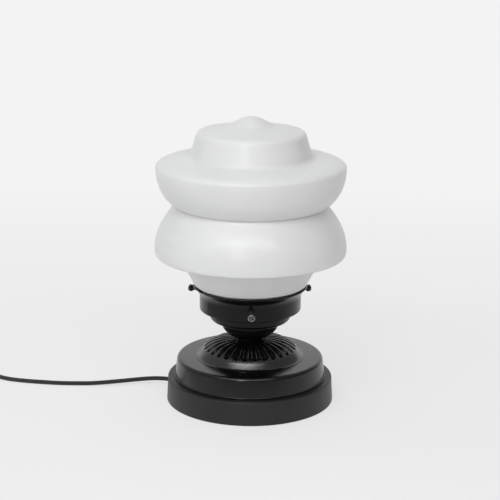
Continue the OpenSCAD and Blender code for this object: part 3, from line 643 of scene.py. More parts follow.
class STAGE:
    """Studio round the lamp: the room's dark and pale side, the ground with its glow and its painted shade in
    front, and the lights.
    """

    pale_side = (-0.35, 0.4, 0.7)
    pale_from, pale_to = -0.3, 0.8
    fill = ((0.2, 0.2, 0.188), (0.54, 0.545, 0.55))
    glow = (0.91, 0.91, 0.91)
    glow_near, glow_far = 0.55, 0.97
    glow_from, glow_to = -0.2, 0.8
    # Where the painted shade on the ground begins towards the front, how soft its edge is, and how dark it
    # gets.
    table_edge, table_fade, dark_front = -0.27, 0.14, 0.6
    back, rise, side, bend = 4.0, 3.0, 4.0, 1.5
    aim = (0, 0, 0.12)
    lights = (
        ("front_strip", (-0.36, -1.4, 0.85), (0.14, 0.9), 4.4),
        ("edge_strip", (-0.15, -0.95, 1.1), (1.9, 0.14), 8.6),
        ("top_light", (-0.1, 0.5, 1.65), (1.4, 1.2), 0.7),
    )


def soft_box(name, place, size, watts):
    """Rectangular studio light that faces the lamp."""
    light = bpy.data.lights.new(name, "AREA")
    light.shape = "RECTANGLE"
    light.size, light.size_y = size
    light.energy = watts
    obj = bpy.data.objects.new(name, light)
    bpy.context.scene.collection.objects.link(obj)
    obj.location = place
    obj.rotation_euler = (Vector(STAGE.aim) - Vector(place)).to_track_quat("-Z", "Y").to_euler()


def studio_world():
    """Fill from a room that is pale above and at the left and dark elsewhere, but all pale to the camera."""
    world = bpy.data.worlds.new("studio")
    world.use_nodes = True
    tree = world.node_tree
    towards = add(tree, "ShaderNodeVectorMath", add(tree, "ShaderNodeTexCoord")["Generated"],
                  Vector(STAGE.pale_side).normalized(), options=[("operation", "DOT_PRODUCT")])["Value"]
    side = spread(tree, towards, 0, 1, STAGE.pale_from, STAGE.pale_to)
    seen = tree.nodes.new("ShaderNodeMix")
    seen.data_type = "RGBA"
    room, looked_at = [socket for socket in seen.inputs if socket.type == "RGBA"]
    give(tree, seen.inputs["Factor"], add(tree, "ShaderNodeLightPath")["Is Camera Ray"])
    give(tree, room, ramp(tree, side, *STAGE.fill, 0, 1))
    give(tree, looked_at, (*STAGE.glow, 1))
    mixed = next(socket for socket in seen.outputs if socket.type == "RGBA")
    feed(tree, tree.nodes["Background"], mixed)
    return world


class LAMP_OT_stage(bpy.types.Operator):
    """Camera, lights, floor and backdrop"""

    bl_idname = "lamp.stage"
    bl_label = "Stage"

    def execute(self, context):
        scene = context.scene
        scene.view_settings.view_transform = "Standard"
        data = bpy.data.cameras.new("camera")
        data.lens, data.sensor_width = CAMERA.lens, CAMERA.sensor
        camera = bpy.data.objects.new("camera", data)
        scene.collection.objects.link(camera)
        turn_down = Matrix.Rotation(math.pi / 2 - CAMERA.down, 4, "X")
        rolled = turn_down @ Matrix.Rotation(CAMERA.roll, 4, "Z")
        camera.matrix_world = Matrix.Translation(CAMERA.place) @ rolled
        scene.camera = camera
        scene.world = studio_world()
        back, side = STAGE.back, STAGE.side
        sweep = outline([(-side, 0, 0), (back, 0, STAGE.bend), (back, STAGE.rise, 0)], 24)
        bm = bmesh.new()
        rows = [[bm.verts.new((x, p.x, p.y)) for x in (-side, side)] for p in sweep]
        for a, b in zip(rows, rows[1:]):
            bm.faces.new((a[0], a[1], b[1], b[0]))
        from_bmesh("ground", bm, "paper_ground")
        for light in STAGE.lights:
            soft_box(*light)
        return {"FINISHED"}


# Cord, with what lies on it

SWITCH_MID = (low("switch_base") + high("switch_base")) / 2
SWITCH_HALF = half_width("switch_base")
SWITCH_SPLIT = high("switch_base").z
SWITCH_TOP = high("switch_cover").z
PLUG_MID_X = (low("plug_body").x + high("plug_body").x) / 2
PLUG_FRONT, PLUG_MOUTH = low("plug_body").y, high("plug_body").y
PLUG_TOP = high("plug_body").z
COIL_MID = Vector((-0.292, -0.006, 0.0028))
COIL_LAYERS = 4
CORD_TURN = math.radians(160)
CORD_HEIGHT = 0.006
CORD_ENTRY = 0.004
PLINTH_R = half_width("plinth")


def exit_at(r):
    """Point at a distance from the lamp's axis, on the line on which the cord leaves the plinth."""
    return Vector((math.cos(CORD_TURN) * r, math.sin(CORD_TURN) * r, CORD_HEIGHT))


def in_metres(points):
    return [Vector(p) * MM for p in points]


def lead_route():
    """From the plinth to the switch."""
    near = SWITCH_MID.x + SWITCH_HALF
    y, z = SWITCH_MID.y, SWITCH_SPLIT
    lying = in_metres([
        (-79, 27.6, 5.8), (-87, 27.8, 5.4), (-96, 27.2, 4.8), (-106, 26.4, 4), (-116, 25.7, 3.2),
        (-126, 25, 2.5), (-136, 24.6, 2), (-146, 24.5, 1.9), (-156, 24.8, 1.8), (-167, 25.8, 1.8),
        (-177, 27.4, 1.8), (-188, 29.4, 1.8), (-198, 31.9, 1.8), (-207, 34.9, 1.9), (-216, 39, 2.6),
        (-223, 44, 4.2), (-229, 49.2, 6.6),
    ])
    start = [exit_at(PLINTH_R - 0.004), exit_at(PLINTH_R + 0.003), exit_at(PLINTH_R + 0.008)]
    return start + lying + [Vector((near + 0.002, y, z)), Vector((near - CORD_ENTRY, y, z))]


def coil_shape():
    """Inner radius, growth and turns of one layer of the coil."""
    sizes = cord_sizes()
    turns = (sizes.loops - (COIL_LAYERS - 1) / 2) / COIL_LAYERS
    growth = turns * sizes.coil_pitch
    return (sizes.coil_mid_d - growth) / 2, growth, turns


def coil_route(per_turn=48):
    """Turns that spiral in and out and climb a layer in the half turn where the spiral reverses."""
    inner, growth, turns = coil_shape()
    pitch, loops = cord_sizes().coil_pitch, cord_sizes().loops
    leg = turns + 0.5
    points = []
    for i in range(loops * per_turn + 1):
        u = i / per_turn
        layer = min(int(u / leg), COIL_LAYERS - 1)
        w = u - layer * leg
        part = min(w, turns) / turns
        rise = max(w - turns, 0) / 0.5
        r = inner + growth * (1 - part if layer % 2 == 0 else part)
        a = math.pi + 2 * math.pi * u
        up = pitch * (layer + rise * rise * (3 - 2 * rise))
        points.append(COIL_MID + Vector((r * math.cos(a), r * math.sin(a), up)))
    return points


def plug_route():
    """From the switch through the coil to the plug."""
    d = cord_sizes().cord_d
    far = SWITCH_MID.x - SWITCH_HALF
    y, z = SWITCH_MID.y, SWITCH_SPLIT
    turns = coil_route()
    side, base, top = turns[0].x, turns[0].z, turns[-1].z
    link = [Vector((far + CORD_ENTRY, y, z)), Vector((far - 0.003, y, z))] + in_metres([
        (-306, 50.6, 6.8), (-313, 46, 5.2), (-317.2, 39, 3.8), (-318.8, 30, 3), (-319, 21, 2.8),
        (-319, 14, 2.8),
    ]) + [Vector((side, COIL_MID.y + d + 0.008, base)), Vector((side, COIL_MID.y + d, base))]
    middle = PLUG_TOP / 2
    fall = ((0, 1), (0.004, 1), (0.009, 0.88), (0.014, 0.62), (0.019, 0.33), (0.024, 0.09))
    tail = [Vector((side, COIL_MID.y - d - away, middle + (top - middle) * part)) for away, part in fall]
    tail += [Vector((side, PLUG_MOUTH + 0.002, middle)), Vector((side, PLUG_MOUTH - CORD_ENTRY, middle))]
    return rounded(link) + turns[:-1] + rounded([turns[-1]] + tail)


def rounded(points, steps=5):
    """Smooth curve through given points."""
    made = []
    last = len(points) - 1
    for i in range(last):
        a, b, c, d = points[max(i - 1, 0)], points[i], points[i + 1], points[min(i + 2, last)]
        for k in range(steps):
            t = k / steps
            made.append(0.5 * (2 * b + (c - a) * t + (2 * a - 5 * b + 4 * c - d) * t * t
                               + (3 * b - a - 3 * c + d) * t ** 3))
    return made + [points[-1]]


BRAID_AROUND = 10.0
BRAID_STEP = 0.0011
TUBE_SHARP = math.radians(60)


def tube(name, points, diameter, finish, sides=14):
    """Closed tube along a route, with a map that runs round it and along it for the braid."""
    bm = bmesh.new()
    layer = bm.loops.layers.uv.new("braid")
    rings, along = [], [0.0]
    angles = [2 * math.pi * k / sides for k in range(sides)]
    side = (points[1] - points[0]).cross(Vector((0, 0, 1))).normalized()
    for i, p in enumerate(points):
        t = (points[min(i + 1, len(points) - 1)] - points[max(i - 1, 0)]).normalized()
        side = (side - side.dot(t) * t).normalized()
        up = side.cross(t)
        ring = [math.cos(a) * side + math.sin(a) * up for a in angles]
        rings.append([bm.verts.new(p + diameter / 2 * out) for out in ring])
        if i:
            along.append(along[-1] + (p - points[i - 1]).length)
    for i in range(len(rings) - 1):
        for k in range(sides):
            n = (k + 1) % sides
            face = bm.faces.new((rings[i][k], rings[i][n], rings[i + 1][n], rings[i + 1][k]))
            turns = (k, k + 1, k + 1, k)
            ends = (along[i], along[i], along[i + 1], along[i + 1])
            for loop, turn_at, far in zip(face.loops, turns, ends):
                loop[layer].uv = (turn_at / sides * BRAID_AROUND, far / BRAID_STEP)
    bm.faces.new(rings[0][::-1])
    bm.faces.new(rings[-1])
    return from_bmesh(name, bm, finish, TUBE_SHARP)


def stadium(half_length, half, steps=24):
    """Outline with straight sides and round ends, about its middle."""
    span = half_length - half
    points = []
    for side, start in ((1, -math.pi / 2), (-1, math.pi / 2)):
        for i in range(steps + 1):
            a = start + math.pi * i / steps
            points.append((side * span + half * math.cos(a), half * math.sin(a)))
    return points


def rounded_box(x0, z0, x1, z1, radius, steps):
    """Outline of a rectangle with round corners."""
    mid = ((x0 + x1) / 2, z0, 0)
    corners = [mid, (x1, z0, radius), (x1, z1, radius), (x0, z1, radius), (x0, z0, radius), mid]
    return outline(corners, steps)[:-1]


class LAMP_OT_switch(bpy.types.Operator):
    """Cord switch: two shells, a rocker, and the frame's pin, contacts and screws"""

    bl_idname = "lamp.switch"
    bl_label = "Cord switch"

    def execute(self, context):
        edge, seam, finish = cord_sizes().switch_edge, 0.00015, "black_plastic"
        place = Matrix.Translation((SWITCH_MID.x, SWITCH_MID.y, 0))
        ends = stadium(SWITCH_HALF, half_depth("switch_base"))
        base = extruded("switch_lower_shell", ends, 0, SWITCH_SPLIT - seam, finish, (edge, seam), place)
        cover = extruded("switch_upper_shell", ends, SWITCH_SPLIT + seam, SWITCH_TOP, finish, (seam, edge),
                         place)
        wide, room, well_half, deep, over = half_depth("switch_rocker"), 0.0005, 0.0095, 0.004, 0.002
        corners = ((-1, -1), (1, -1), (1, 1), (-1, 1))
        well = [(x * (well_half + room), y * (wide + room)) for x, y in corners]
        carve(cover, extruded("well", well, SWITCH_TOP - deep, SWITCH_TOP + over, finish, place=place))
        pivot = Vector(next(j["pos_m"] for j in frame["joints"] if j["name"] == "rocker_tilt"))
        at_rest = Matrix.Translation(pivot) @ Matrix.Rotation(math.radians(-9), 4, "Y")
        crest, dip, end, sole, rim = 0.0042, 0.0012, 0.0089, -0.0018, 0.0006
        back = [(x, crest - dip * (1 - (x / end) ** 2)) for x in [end - end * i / 8 for i in range(17)]]
        side = [(-end, sole), (end, sole)] + back
        lying = at_rest @ Matrix.Rotation(math.pi / 2, 4, "X")
        rocker = extruded("switch_rocker_cap", side, -wide, wide, finish, (rim, rim), lying)
        place_piece(base, "base", "switch_plastic", "switch_base")
        place_piece(cover, "base", "switch_plastic", "switch_cover")
        place_piece(rocker, "rocker", "switch_plastic", "switch_rocker")
        dress("zinc_plated_steel", "switch_pin", "switch_screws")
        dress("plain_brass", "switch_contacts")
        return {"FINISHED"}


class LAMP_OT_plug(bpy.types.Operator):
    """Two-pin plug with a ribbed strain relief and sleeved pins, and the tie round the coil"""

    bl_idname = "lamp.plug"
    bl_label = "Plug and tie"

    def execute(self, context):
        self.body()
        self.pins()
        self.tie()
        return {"FINISHED"}

    def body(self):
        """Shell that narrows to the cord, and the relief with its ribs."""
        sizes, finish = cord_sizes(), "black_plastic"
        relief_l, edge = sizes.relief_l, sizes.plug_edge
        wide, tail, long = half_width("plug_body"), 0.0055, PLUG_MOUTH - PLUG_FRONT - relief_l
        grip, grip_round, neck, neck_round = 0.013, 0.006, long - 0.002, 0.004
        right = outline([(0, 0, 0), (wide, 0, 0), (wide, grip, grip_round), (tail, neck, neck_round),
                         (tail, long, 0), (0, long, 0)], 8)[1:-1]
        points = [(p.x, p.y) for p in right] + [(-p.x, p.y) for p in right[::-1]]
        place = Matrix.Translation((PLUG_MID_X, PLUG_FRONT, 0))
        plug = extruded("plug_shell", points, 0, PLUG_TOP, finish, (edge, edge), place)
        place_piece(plug, "base", "switch_plastic", "plug_body")
        ribs, groove, bore = 7, 0.0007, sizes.cord_d / 2 + 0.0001
        thin, step = sizes.cord_d / 2 + 0.0012, relief_l / ribs
        sleeve = vectors((bore, 0), (tail, 0))
        for i in range(ribs):
            for along, cut in ((0.08, 0), (0.62, 0), (0.7, groove), (1.0, groove)):
                at = step * (i + along)
                sleeve.append(Vector((tail + (thin - tail) * at / relief_l - cut, at)))
        sleeve.append(Vector((bore, relief_l)))
        mouth = Matrix.Translation((PLUG_MID_X, PLUG_MOUTH - relief_l, PLUG_TOP / 2))
        lying = mouth @ Matrix.Rotation(-math.pi / 2, 4, "X")
        place_piece(turned("plug_relief", sleeve, finish, 48, True, lying), "base", "switch_plastic")

    def pins(self):
        """Nickelled pins with a sleeve over half their length."""
        pins_low, pins_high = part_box("plug_pins")
        radius = (pins_high.z - pins_low.z) / 2
        spacing = (pins_high.x - pins_low.x) / 2 - radius
        free, sleeve, root = PLUG_FRONT - pins_low.y, 0.010, 0.8 * radius
        pin_foot, sleeve_foot = -0.004, -0.002
        pin = outline([(0, pin_foot, 0), (root, pin_foot, 0), (root, sleeve, 0), (radius, sleeve, 0),
                       (radius, free, radius * 0.9), (0, free, 0)], 8)
        jacket = outline([(root, sleeve_foot, 0), (radius, sleeve_foot, 0), (radius, sleeve, 0.0002),
                          (root, sleeve, 0)], 4)
        pins, jackets = bmesh.new(), bmesh.new()
        for side in (-1, 1):
            at = Matrix.Translation((PLUG_MID_X + side * spacing, PLUG_FRONT, PLUG_TOP / 2))
            at = at @ Matrix.Rotation(math.pi / 2, 4, "X")
            turn(pins, pin, 40, False, at)
            turn(jackets, jacket, 40, True, at)
        place_piece(from_bmesh("plug_pin_pair", pins, "nickel_plate"), "base", "pin_metal", "plug_pins")
        place_piece(from_bmesh("plug_pin_sleeves", jackets, "black_plastic"), "base", "switch_plastic")

    def tie(self):
        """Strap round the bundle of turns."""
        inner, growth, _ = coil_shape()
        d, thick, half, gap = cord_sizes().cord_d, 0.0007, 0.0045, 0.0003
        bottom, top = low("cord_tie").z, high("cord_tie").z
        first = math.sqrt((inner - d / 2) ** 2 - half ** 2) - gap
        last = inner + growth + d / 2 + gap
        outer_round, inner_round, place = 0.003, 0.0024, math.radians(60)
        ring = rounded_box(first - thick, bottom, last + thick, top, outer_round, 6)
        hole = rounded_box(first, bottom + thick, last, top - thick, inner_round, 6)
        bm = bmesh.new()
        rows = [[bm.verts.new((p[0], y, p[1])) for p in loop] for loop in (ring, hole) for y in (-half, half)]
        count = len(ring)
        for a, b in ((0, 1), (3, 2), (2, 0), (1, 3)):
            for k in range(count):
                n = (k + 1) % count
                bm.faces.new((rows[a][k], rows[a][n], rows[b][n], rows[b][k]))
        at = Matrix.Translation((COIL_MID.x, COIL_MID.y, 0)) @ Matrix.Rotation(place, 4, "Z")
        bmesh.ops.transform(bm, matrix=at, verts=bm.verts)
        place_piece(from_bmesh("coil_tie_strap", bm, "tie_strap"), "base", "tie_plastic", "cord_tie")


class LAMP_OT_cords(bpy.types.Operator):
    """Braided cord from the plinth to the switch, and on through its coil to the plug"""

    bl_idname = "lamp.cords"
    bl_label = "Cords"

    def execute(self, context):
        d = cord_sizes().cord_d
        lead_points = rounded(lead_route())
        lead = tube("cord_to_switch", lead_points, d, "black_braid")
        place_piece(lead, "base", "cord_cloth", "cord_lead")
        plug_points = plug_route()
        rest = tube("cord_to_plug", plug_points, d, "black_braid")
        place_piece(rest, "base", "cord_cloth", "cord_link", "cord_coil", "cord_tail")
        return {"FINISHED"}


# Glass

class LAMP_OT_shade(bpy.types.Operator):
    """Stepped opal glass shade"""

    bl_idname = "lamp.shade"
    bl_label = "Glass shade"

    def execute(self, context):
        s = shade_sizes()
        foot_z, tip_z = low("glass_shade").z, high("glass_shade").z
        band_z = foot_z + s.neck_h
        bulge_z = band_z + s.band_h
        waist_z = bulge_z + s.bulge_h
        crown_z = waist_z + s.disc_h
        crown_top = crown_z + s.crown_h
        band = Vector((s.band_r, bulge_z))
        bulge = Vector((s.bulge_r, bulge_z + 0.06 * s.bulge_h))
        waist = Vector((s.waist_r, waist_z))
        disc = Vector((s.disc_r, waist_z + 0.8 * s.disc_h))
        foot = Vector((s.crown_foot_r, crown_z))
        meet = foot + reach(5.5, -0.4)
        path = outline([(s.neck_r, foot_z, 0), (s.neck_r, band_z, 0.0005),
                        (s.neck_r + s.band_step, band_z, s.band_edge), (*band, 0)])
        path += curve(band, band + reach(10, 0), bulge - reach(0, 11.2), bulge)
        path += curve(bulge, bulge + reach(0, 17.8), waist + reach(3.8, -7.2), waist)
        path += curve(waist, waist + reach(8, 4), disc - reach(0, 15.4), disc)
        path += curve(disc, disc + reach(0, 5.2), meet + reach(5.5, -0.4), meet)
        path += outline([(*meet, 0), (*foot, s.crown_fillet), (s.crown_r, crown_top, s.crown_edge),
                         (s.pip_r, crown_top + s.pip_rise, s.pip_round), (s.tip_r, tip_z, s.tip_round),
                         (0, tip_z, 0)])[1:]
        inside = inset(path, s.wall)
        inside[-1].x = 0
        shade = turned("opal_shade", path[::-1] + inside, "satin_opal_glass", closed=False)
        place_piece(shade, "shade", "opal_glass", "glass_shade")
        return {"FINISHED"}


# Metalwork

ROD_HOLE = 0.0051


class LAMP_OT_base(bpy.types.Operator):
    """Plinth, canopy, felt and what the plinth holds"""

    bl_idname = "lamp.base"
    bl_label = "Plinth and canopy"

    def execute(self, context):
        s = base_sizes()
        floor_z, play = low("plinth").z, 0.0001
        felt_r, felt_top = half_width("felt_pad") + play, high("felt_pad").z
        cover_r, cover_top = half_width("bottom_cover") + play, high("bottom_cover").z
        hollow_r, ceiling = 0.050, high("ballast_weight").z
        body = outline([
            (ROD_HOLE, PLINTH_TOP, 0), (s.plinth_top_r, PLINTH_TOP, s.plinth_edge),
            (PLINTH_R, floor_z, s.plinth_edge / 2), (felt_r, floor_z, 0), (felt_r, felt_top, 0),
            (cover_r, felt_top, 0), (cover_r, cover_top, 0), (hollow_r, cover_top, 0), (hollow_r, ceiling, 0),
            (ROD_HOLE, ceiling, 0)])
        place_piece(turned("plinth_body", body, "matt_black_lacquer"), "base", "black_wood", "plinth")
        bead = s.canopy_bead
        skirt = outline([
            (s.canopy_r, PLINTH_TOP, 0), (s.canopy_r, PLINTH_TOP + 2 * bead, bead),
            (s.canopy_top_r, CANOPY_TOP, s.canopy_edge), (ROD_HOLE, CANOPY_TOP, 0)])
        middle = Vector((s.canopy_r - bead / 2, PLINTH_TOP + bead))
        foot = [middle + bead * Vector((math.cos(a), math.sin(a)))
                for a in [math.radians(10 * i - 80) for i in range(15)]]
        outside = foot + [p for p in skirt if p.y > foot[-1].y]
        sheet = outside + inset(skirt, s.sheet)[::-1]
        place_piece(turned("canopy_sheet", sheet, "satin_black_lacquer"), "base", "black_metal", "canopy")
        dress("pressed_felt", "felt_pad")
        dress("zinc_plated_steel", "bottom_cover", "cover_screws", "rod_nut", "rod_washer")
        dress("plain_brass", "threaded_rod")
        dress("cast_iron", "ballast_weight")
        dress("grey_plastic", "cord_anchor")
        dress("black_braid", "inner_lead")
        dress("moulded_rubber", "cord_bush")
        return {"FINISHED"}


# Turned pieces whose pattern follows a rule: each tree takes a profile, in its points' order

def pressed_flutes(source, radius, height, around, put):
    """Flutes with round ends, pressed down into whatever lies above the floor."""
    turns = put("ADD", put("MULTIPLY", around, source["Flutes"]), 0.5)
    phase = put("SUBTRACT", put("FRACT", turns), 0.5)
    across = put("DIVIDE", put("MULTIPLY", phase, 2), put("SUBTRACT", 1, source["Ridge"]))
    past = put("SUBTRACT", radius, put("SUBTRACT", source["Flute end"], source["Round end"]))
    beyond = put("MAXIMUM", put("DIVIDE", past, source["Round end"]), 0)
    bowl = put("SUBTRACT", 1, put("ADD", put("MULTIPLY", across, across), put("MULTIPLY", beyond, beyond)))
    depth = put("MULTIPLY", source["Depth"], put("DIVIDE", radius, source["Flute end"]))
    cut = put("MULTIPLY", put("MAXIMUM", bowl, 0), depth)
    return radius, put("SUBTRACT", height, put("MULTIPLY", cut, put("GREATER_THAN", height, source["Floor"])))


def rolled_waves(source, radius, height, around, put):
    """Waves pressed inwards between two heights: a thread if they climb, grip ribs if they stand upright."""
    climb = put("ADD", put("MULTIPLY", height, source["Waves up"]), source["Shift"])
    turns = put("SUBTRACT", climb, put("MULTIPLY", around, source["Waves round"]))
    wave = put("MULTIPLY", put("ADD", put("COSINE", put("MULTIPLY", turns, 2 * math.pi)), 1), 0.5)
    inside = put("MINIMUM", put("SUBTRACT", height, source["Start"]), put("SUBTRACT", source["End"], height))
    faded = put("MINIMUM", put("MAXIMUM", put("DIVIDE", inside, source["Run out"]), 0), 1)
    return put("SUBTRACT", radius, put("MULTIPLY", put("MULTIPLY", wave, faded), source["Depth"])), height


# Each tree with its pattern and the inputs that the pattern reads

TURNINGS = {
    "Fluted turning": (pressed_flutes, {
        "Flutes": 30, "Depth": 0.002, "Ridge": 0.2, "Flute end": 0.038, "Round end": 0.004, "Floor": 0.0}),
    "Rolled turning": (rolled_waves, {
        "Waves round": 1, "Waves up": 0.0, "Shift": 0.0, "Depth": 0.0005, "Start": 0.0, "End": 1.0,
        "Run out": 0.003}),
}
PATTERN_SHARP = math.radians(50)


def turning_tree(name):
    """Geometry tree that turns a profile round Z once its pattern has moved the points.

    A pattern gets the tree's inputs, each point's radius, height and share of a turn, and a maker of math
    nodes, and returns the new radius and height.
    """
    found = bpy.data.node_groups.get(name)
    if found:
        return found
    pattern, settings = TURNINGS[name]
    tree = bpy.data.node_groups.new(name, "GeometryNodeTree")
    tree.interface.new_socket(name="Geometry", in_out="OUTPUT", socket_type="NodeSocketGeometry")
    kinds = {int: "Int", float: "Float"}
    for label, value in {"Profile": "Geometry", "Segments": 192, **settings, "Material": "Material"}.items():
        kind = kinds.get(type(value), value)
        socket = tree.interface.new_socket(name=label, in_out="INPUT", socket_type=f"NodeSocket{kind}")
        if kind != value:
            socket.default_value = value
    put = functools.partial(calc, tree)
    source = add(tree, "NodeGroupInput")
    count = add(tree, "GeometryNodeAttributeDomainSize", source["Profile"])["Point Count"]
    grid = add(tree, "GeometryNodeMeshGrid", 1, 1, put("ADD", source["Segments"], 1), count)["Mesh"]
    position = add(tree, "GeometryNodeInputPosition")[0]
    flat = add(tree, "ShaderNodeSeparateXYZ", position)
    around = put("ADD", flat["X"], 0.5)
    row = put("MULTIPLY", put("ADD", flat["Y"], 0.5), put("SUBTRACT", count, 1))
    sample = add(tree, "GeometryNodeSampleIndex", options=[("data_type", "FLOAT_VECTOR")],
                 Geometry=source["Profile"], Value=position, Index=put("ROUND", row))
    profile = add(tree, "ShaderNodeSeparateXYZ", sample[0])
    radius, height = pattern(source, profile["X"], profile["Z"], around, put)
    angle = put("MULTIPLY", around, 2 * math.pi)
    x, y = (put("MULTIPLY", radius, put(part, angle)) for part in ("COSINE", "SINE"))
    place = add(tree, "ShaderNodeCombineXYZ", x, y, height)[0]
    moved = add(tree, "GeometryNodeSetPosition", Geometry=grid, Position=place)[0]
    merged = add(tree, "GeometryNodeMergeByDistance", Geometry=moved, Distance=1e-6)[0]
    realized = add(tree, "GeometryNodeRealizeInstances", merged)[0]
    made = add(tree, "GeometryNodeSetMaterial", Geometry=realized, Material=source["Material"])[0]
    add(tree, "NodeGroupOutput", made)
    return tree


def patterned(name, points, finish, turning, **values):
    """Object that a geometry tree turns from a profile, as a plain mesh."""
    mesh = bpy.data.meshes.new(name)
    mesh.from_pydata([(p.x, 0, p.y) for p in points], [(i, i + 1) for i in range(len(points) - 1)], [])
    obj = made_object(name, mesh, finish)
    tree = turning_tree(turning)
    ids = {item.name: item.identifier for item in tree.interface.items_tree if item.in_out == "INPUT"}
    nodes = obj.modifiers.new("Turning", "NODES")
    nodes.node_group = tree
    for label, value in {"Material": material(finish), **values}.items():
        nodes[ids[label.replace("_", " ")]] = value
    evaluated(obj)
    bm = bmesh.new()
    bm.from_mesh(obj.data)
    bmesh.ops.recalc_face_normals(bm, faces=bm.faces)
    bm.to_mesh(obj.data)
    bm.free()
    smooth(obj.data, PATTERN_SHARP)
    return obj


class LAMP_OT_dome(bpy.types.Operator):
    """Dome with flutes inside a smooth ring"""

    bl_idname = "lamp.dome"
    bl_label = "Fluted dome"

    def execute(self, context):
        s = base_sizes()
        ring_r, ring_top = half_width("fluted_dome"), CANOPY_TOP + s.ring_h
        wall, recess = 0.0063, CANOPY_TOP + 0.6 * s.ring_h
        flange_top = CANOPY_TOP + s.flange_t
        rim = Vector((s.dome_r, ring_top + s.rim_rise))
        flat = Vector((s.dome_top_r, DOME_TOP))
        points = outline([(ring_r, CANOPY_TOP, 0), (ring_r, flange_top, 0),
                          (ring_r - s.flange_w, flange_top, s.flange_fillet),
                          (s.dome_r + 0.0013, ring_top, 0.001), (*rim, 0)], 6)
        points += curve(rim, rim + reach(-7, 5.7), flat + reach(12.5, 0.2), flat, 72)
        points += vectors((ROD_HOLE, DOME_TOP), (ROD_HOLE, recess), (ring_r - wall, recess),
                          (ring_r - wall, CANOPY_TOP), (ring_r, CANOPY_TOP))
        dome = patterned("fluted_dome_casting", points, "worn_black_lacquer", "Fluted turning",
                         Segments=s.flutes * 16, Flutes=s.flutes, Depth=s.flute_depth, Ridge=s.flute_ridge,
                         Flute_end=s.dome_r, Round_end=math.pi * s.dome_r / s.flutes, Floor=recess + 0.0002)
        place_piece(dome, "base", "black_metal", "fluted_dome")
        return {"FINISHED"}


class LAMP_OT_gallery(bpy.types.Operator):
    """Flared gallery and the cup below it"""

    bl_idname = "lamp.gallery"
    bl_label = "Gallery and cup"

    def execute(self, context):
        s = base_sizes()
        collar_z = GALLERY_FLOOR + s.step_h
        flare = Vector((s.collar_r, collar_z + s.collar_h))
        lip = Vector((half_width("gallery"), high("gallery").z))
        path = outline([(ROD_HOLE, GALLERY_FLOOR, 0), (s.step_r, GALLERY_FLOOR, s.step_edge),
                        (s.step_r, collar_z - 0.0004, s.sheet), (s.collar_r, collar_z, s.collar_edge),
                        (*flare, 0)])
        path += curve(flare, flare + Vector((0, 0.35 * (lip.y - flare.y))), lip - reach(2, 1.2), lip, 14)
        sheet = turned("gallery_sheet", shell(path, s.sheet, 0.42 * s.sheet), "silk_black_lacquer")
        place_piece(sheet, "base", "black_metal", "gallery")
        neck = Vector((s.cup_foot_r, DOME_TOP + s.cup_neck_h))
        rim = Vector((s.cup_r, GALLERY_FLOOR - 0.0008))
        bowl = vectors((ROD_HOLE, DOME_TOP), (s.cup_foot_r, DOME_TOP), neck)
        bowl += curve(neck, neck + reach(6.5, 0.5), rim - reach(0, 7), rim)
        bowl += vectors((s.cup_r, GALLERY_FLOOR))
        cup = turned("gallery_cup_sheet", shell(bowl, s.sheet), "silk_black_lacquer")
        place_piece(cup, "base", "black_metal", "gallery_cup")
        return {"FINISHED"}


class LAMP_OT_thumbscrews(bpy.types.Operator):
    """Three slotted thumbscrews and the bushes that they run in"""

    bl_idname = "lamp.thumbscrews"
    bl_label = "Thumbscrews"

    def execute(self, context):
        s = base_sizes()
        tip, face = shade_sizes().neck_r + 0.0003, s.collar_r + s.screw_out
        head, shank, seat = s.screw_head_r, s.screw_r, face - s.screw_head_l
        dish, cut, slot_half = face - 0.0005, face - 0.0011, 0.00045
        profile = outline([
            (0, tip, 0), (shank, tip, 0.0004), (shank, seat, 0.0006),
            (head, seat + 0.4 * s.screw_head_l, 0.0009), (head, face, 0.0006), (head - 0.0009, face, 0.0002),
            (head - 0.0014, dish, 0.0003), (0, dish, 0)], 6)
        slot = [(-slot_half, -head), (slot_half, -head), (slot_half, head), (-slot_half, head)]
        for name, azimuth in SCREWS.items():
            at, finish = self.axis(azimuth), "rubbed_black_lacquer"
            screw = turned(f"thumbscrew_{name}_body", profile, finish, 48, False, at)
            lean = at @ Matrix.Rotation(math.radians(55), 4, "Z")
            carve(screw, extruded("slot", slot, cut, face + 0.001, finish, place=lean))
            # Painted highlight on the front screw only: its shank and rim are marked for a lighter bare-metal
            # tone.
            self.rub(screw, at.inverted(), face, head, name == "front")
            place_piece(screw, f"{name}_thumbscrew", "black_metal", f"thumbscrew_{name}")
        inside, outside, seat = s.collar_r - s.sheet, s.collar_r + 0.001, s.collar_r + 0.00005
        bore, neck, flange = shank + 0.00005, shank + 0.0008, shank + 0.0016
        bush = outline([(bore, inside, 0), (neck, inside, 0), (neck, seat, 0), (flange, seat, 0),
                        (flange, outside, 0.0003), (bore, outside, 0)], 4)
        bm = bmesh.new()
        for azimuth in SCREWS.values():
            turn(bm, bush, 48, True, self.axis(azimuth))
        bushes = from_bmesh("screw_bush_set", bm, "silk_black_lacquer")
        place_piece(bushes, "base", "black_metal", "screw_bushes")
        return {"FINISHED"}

    def rub(self, screw, to_axis, face, head, is_front):
        """Marks the front screw's shank and rim for a painted highlight, and leaves the dish in its button
        plain lacquer.
        """
        dish_z, dish_r = face - 0.002, head - 0.0011
        marks = screw.data.attributes.new("wear", "FLOAT", "POINT")
        for mark, vertex in zip(marks.data, screw.data.vertices):
            x, y, z = to_axis @ vertex.co
            mark.value = is_front and not (z > dish_z and math.hypot(x, y) < dish_r)

    def axis(self, azimuth):
        """Place whose Z runs outwards through a thumbscrew."""
        out = Matrix.Translation((0, 0, SCREW_HEIGHT)) @ Matrix.Rotation(math.radians(azimuth), 4, "Z")
        return out @ Matrix.Rotation(math.pi / 2, 4, "Y")


# Lampholder and bulb

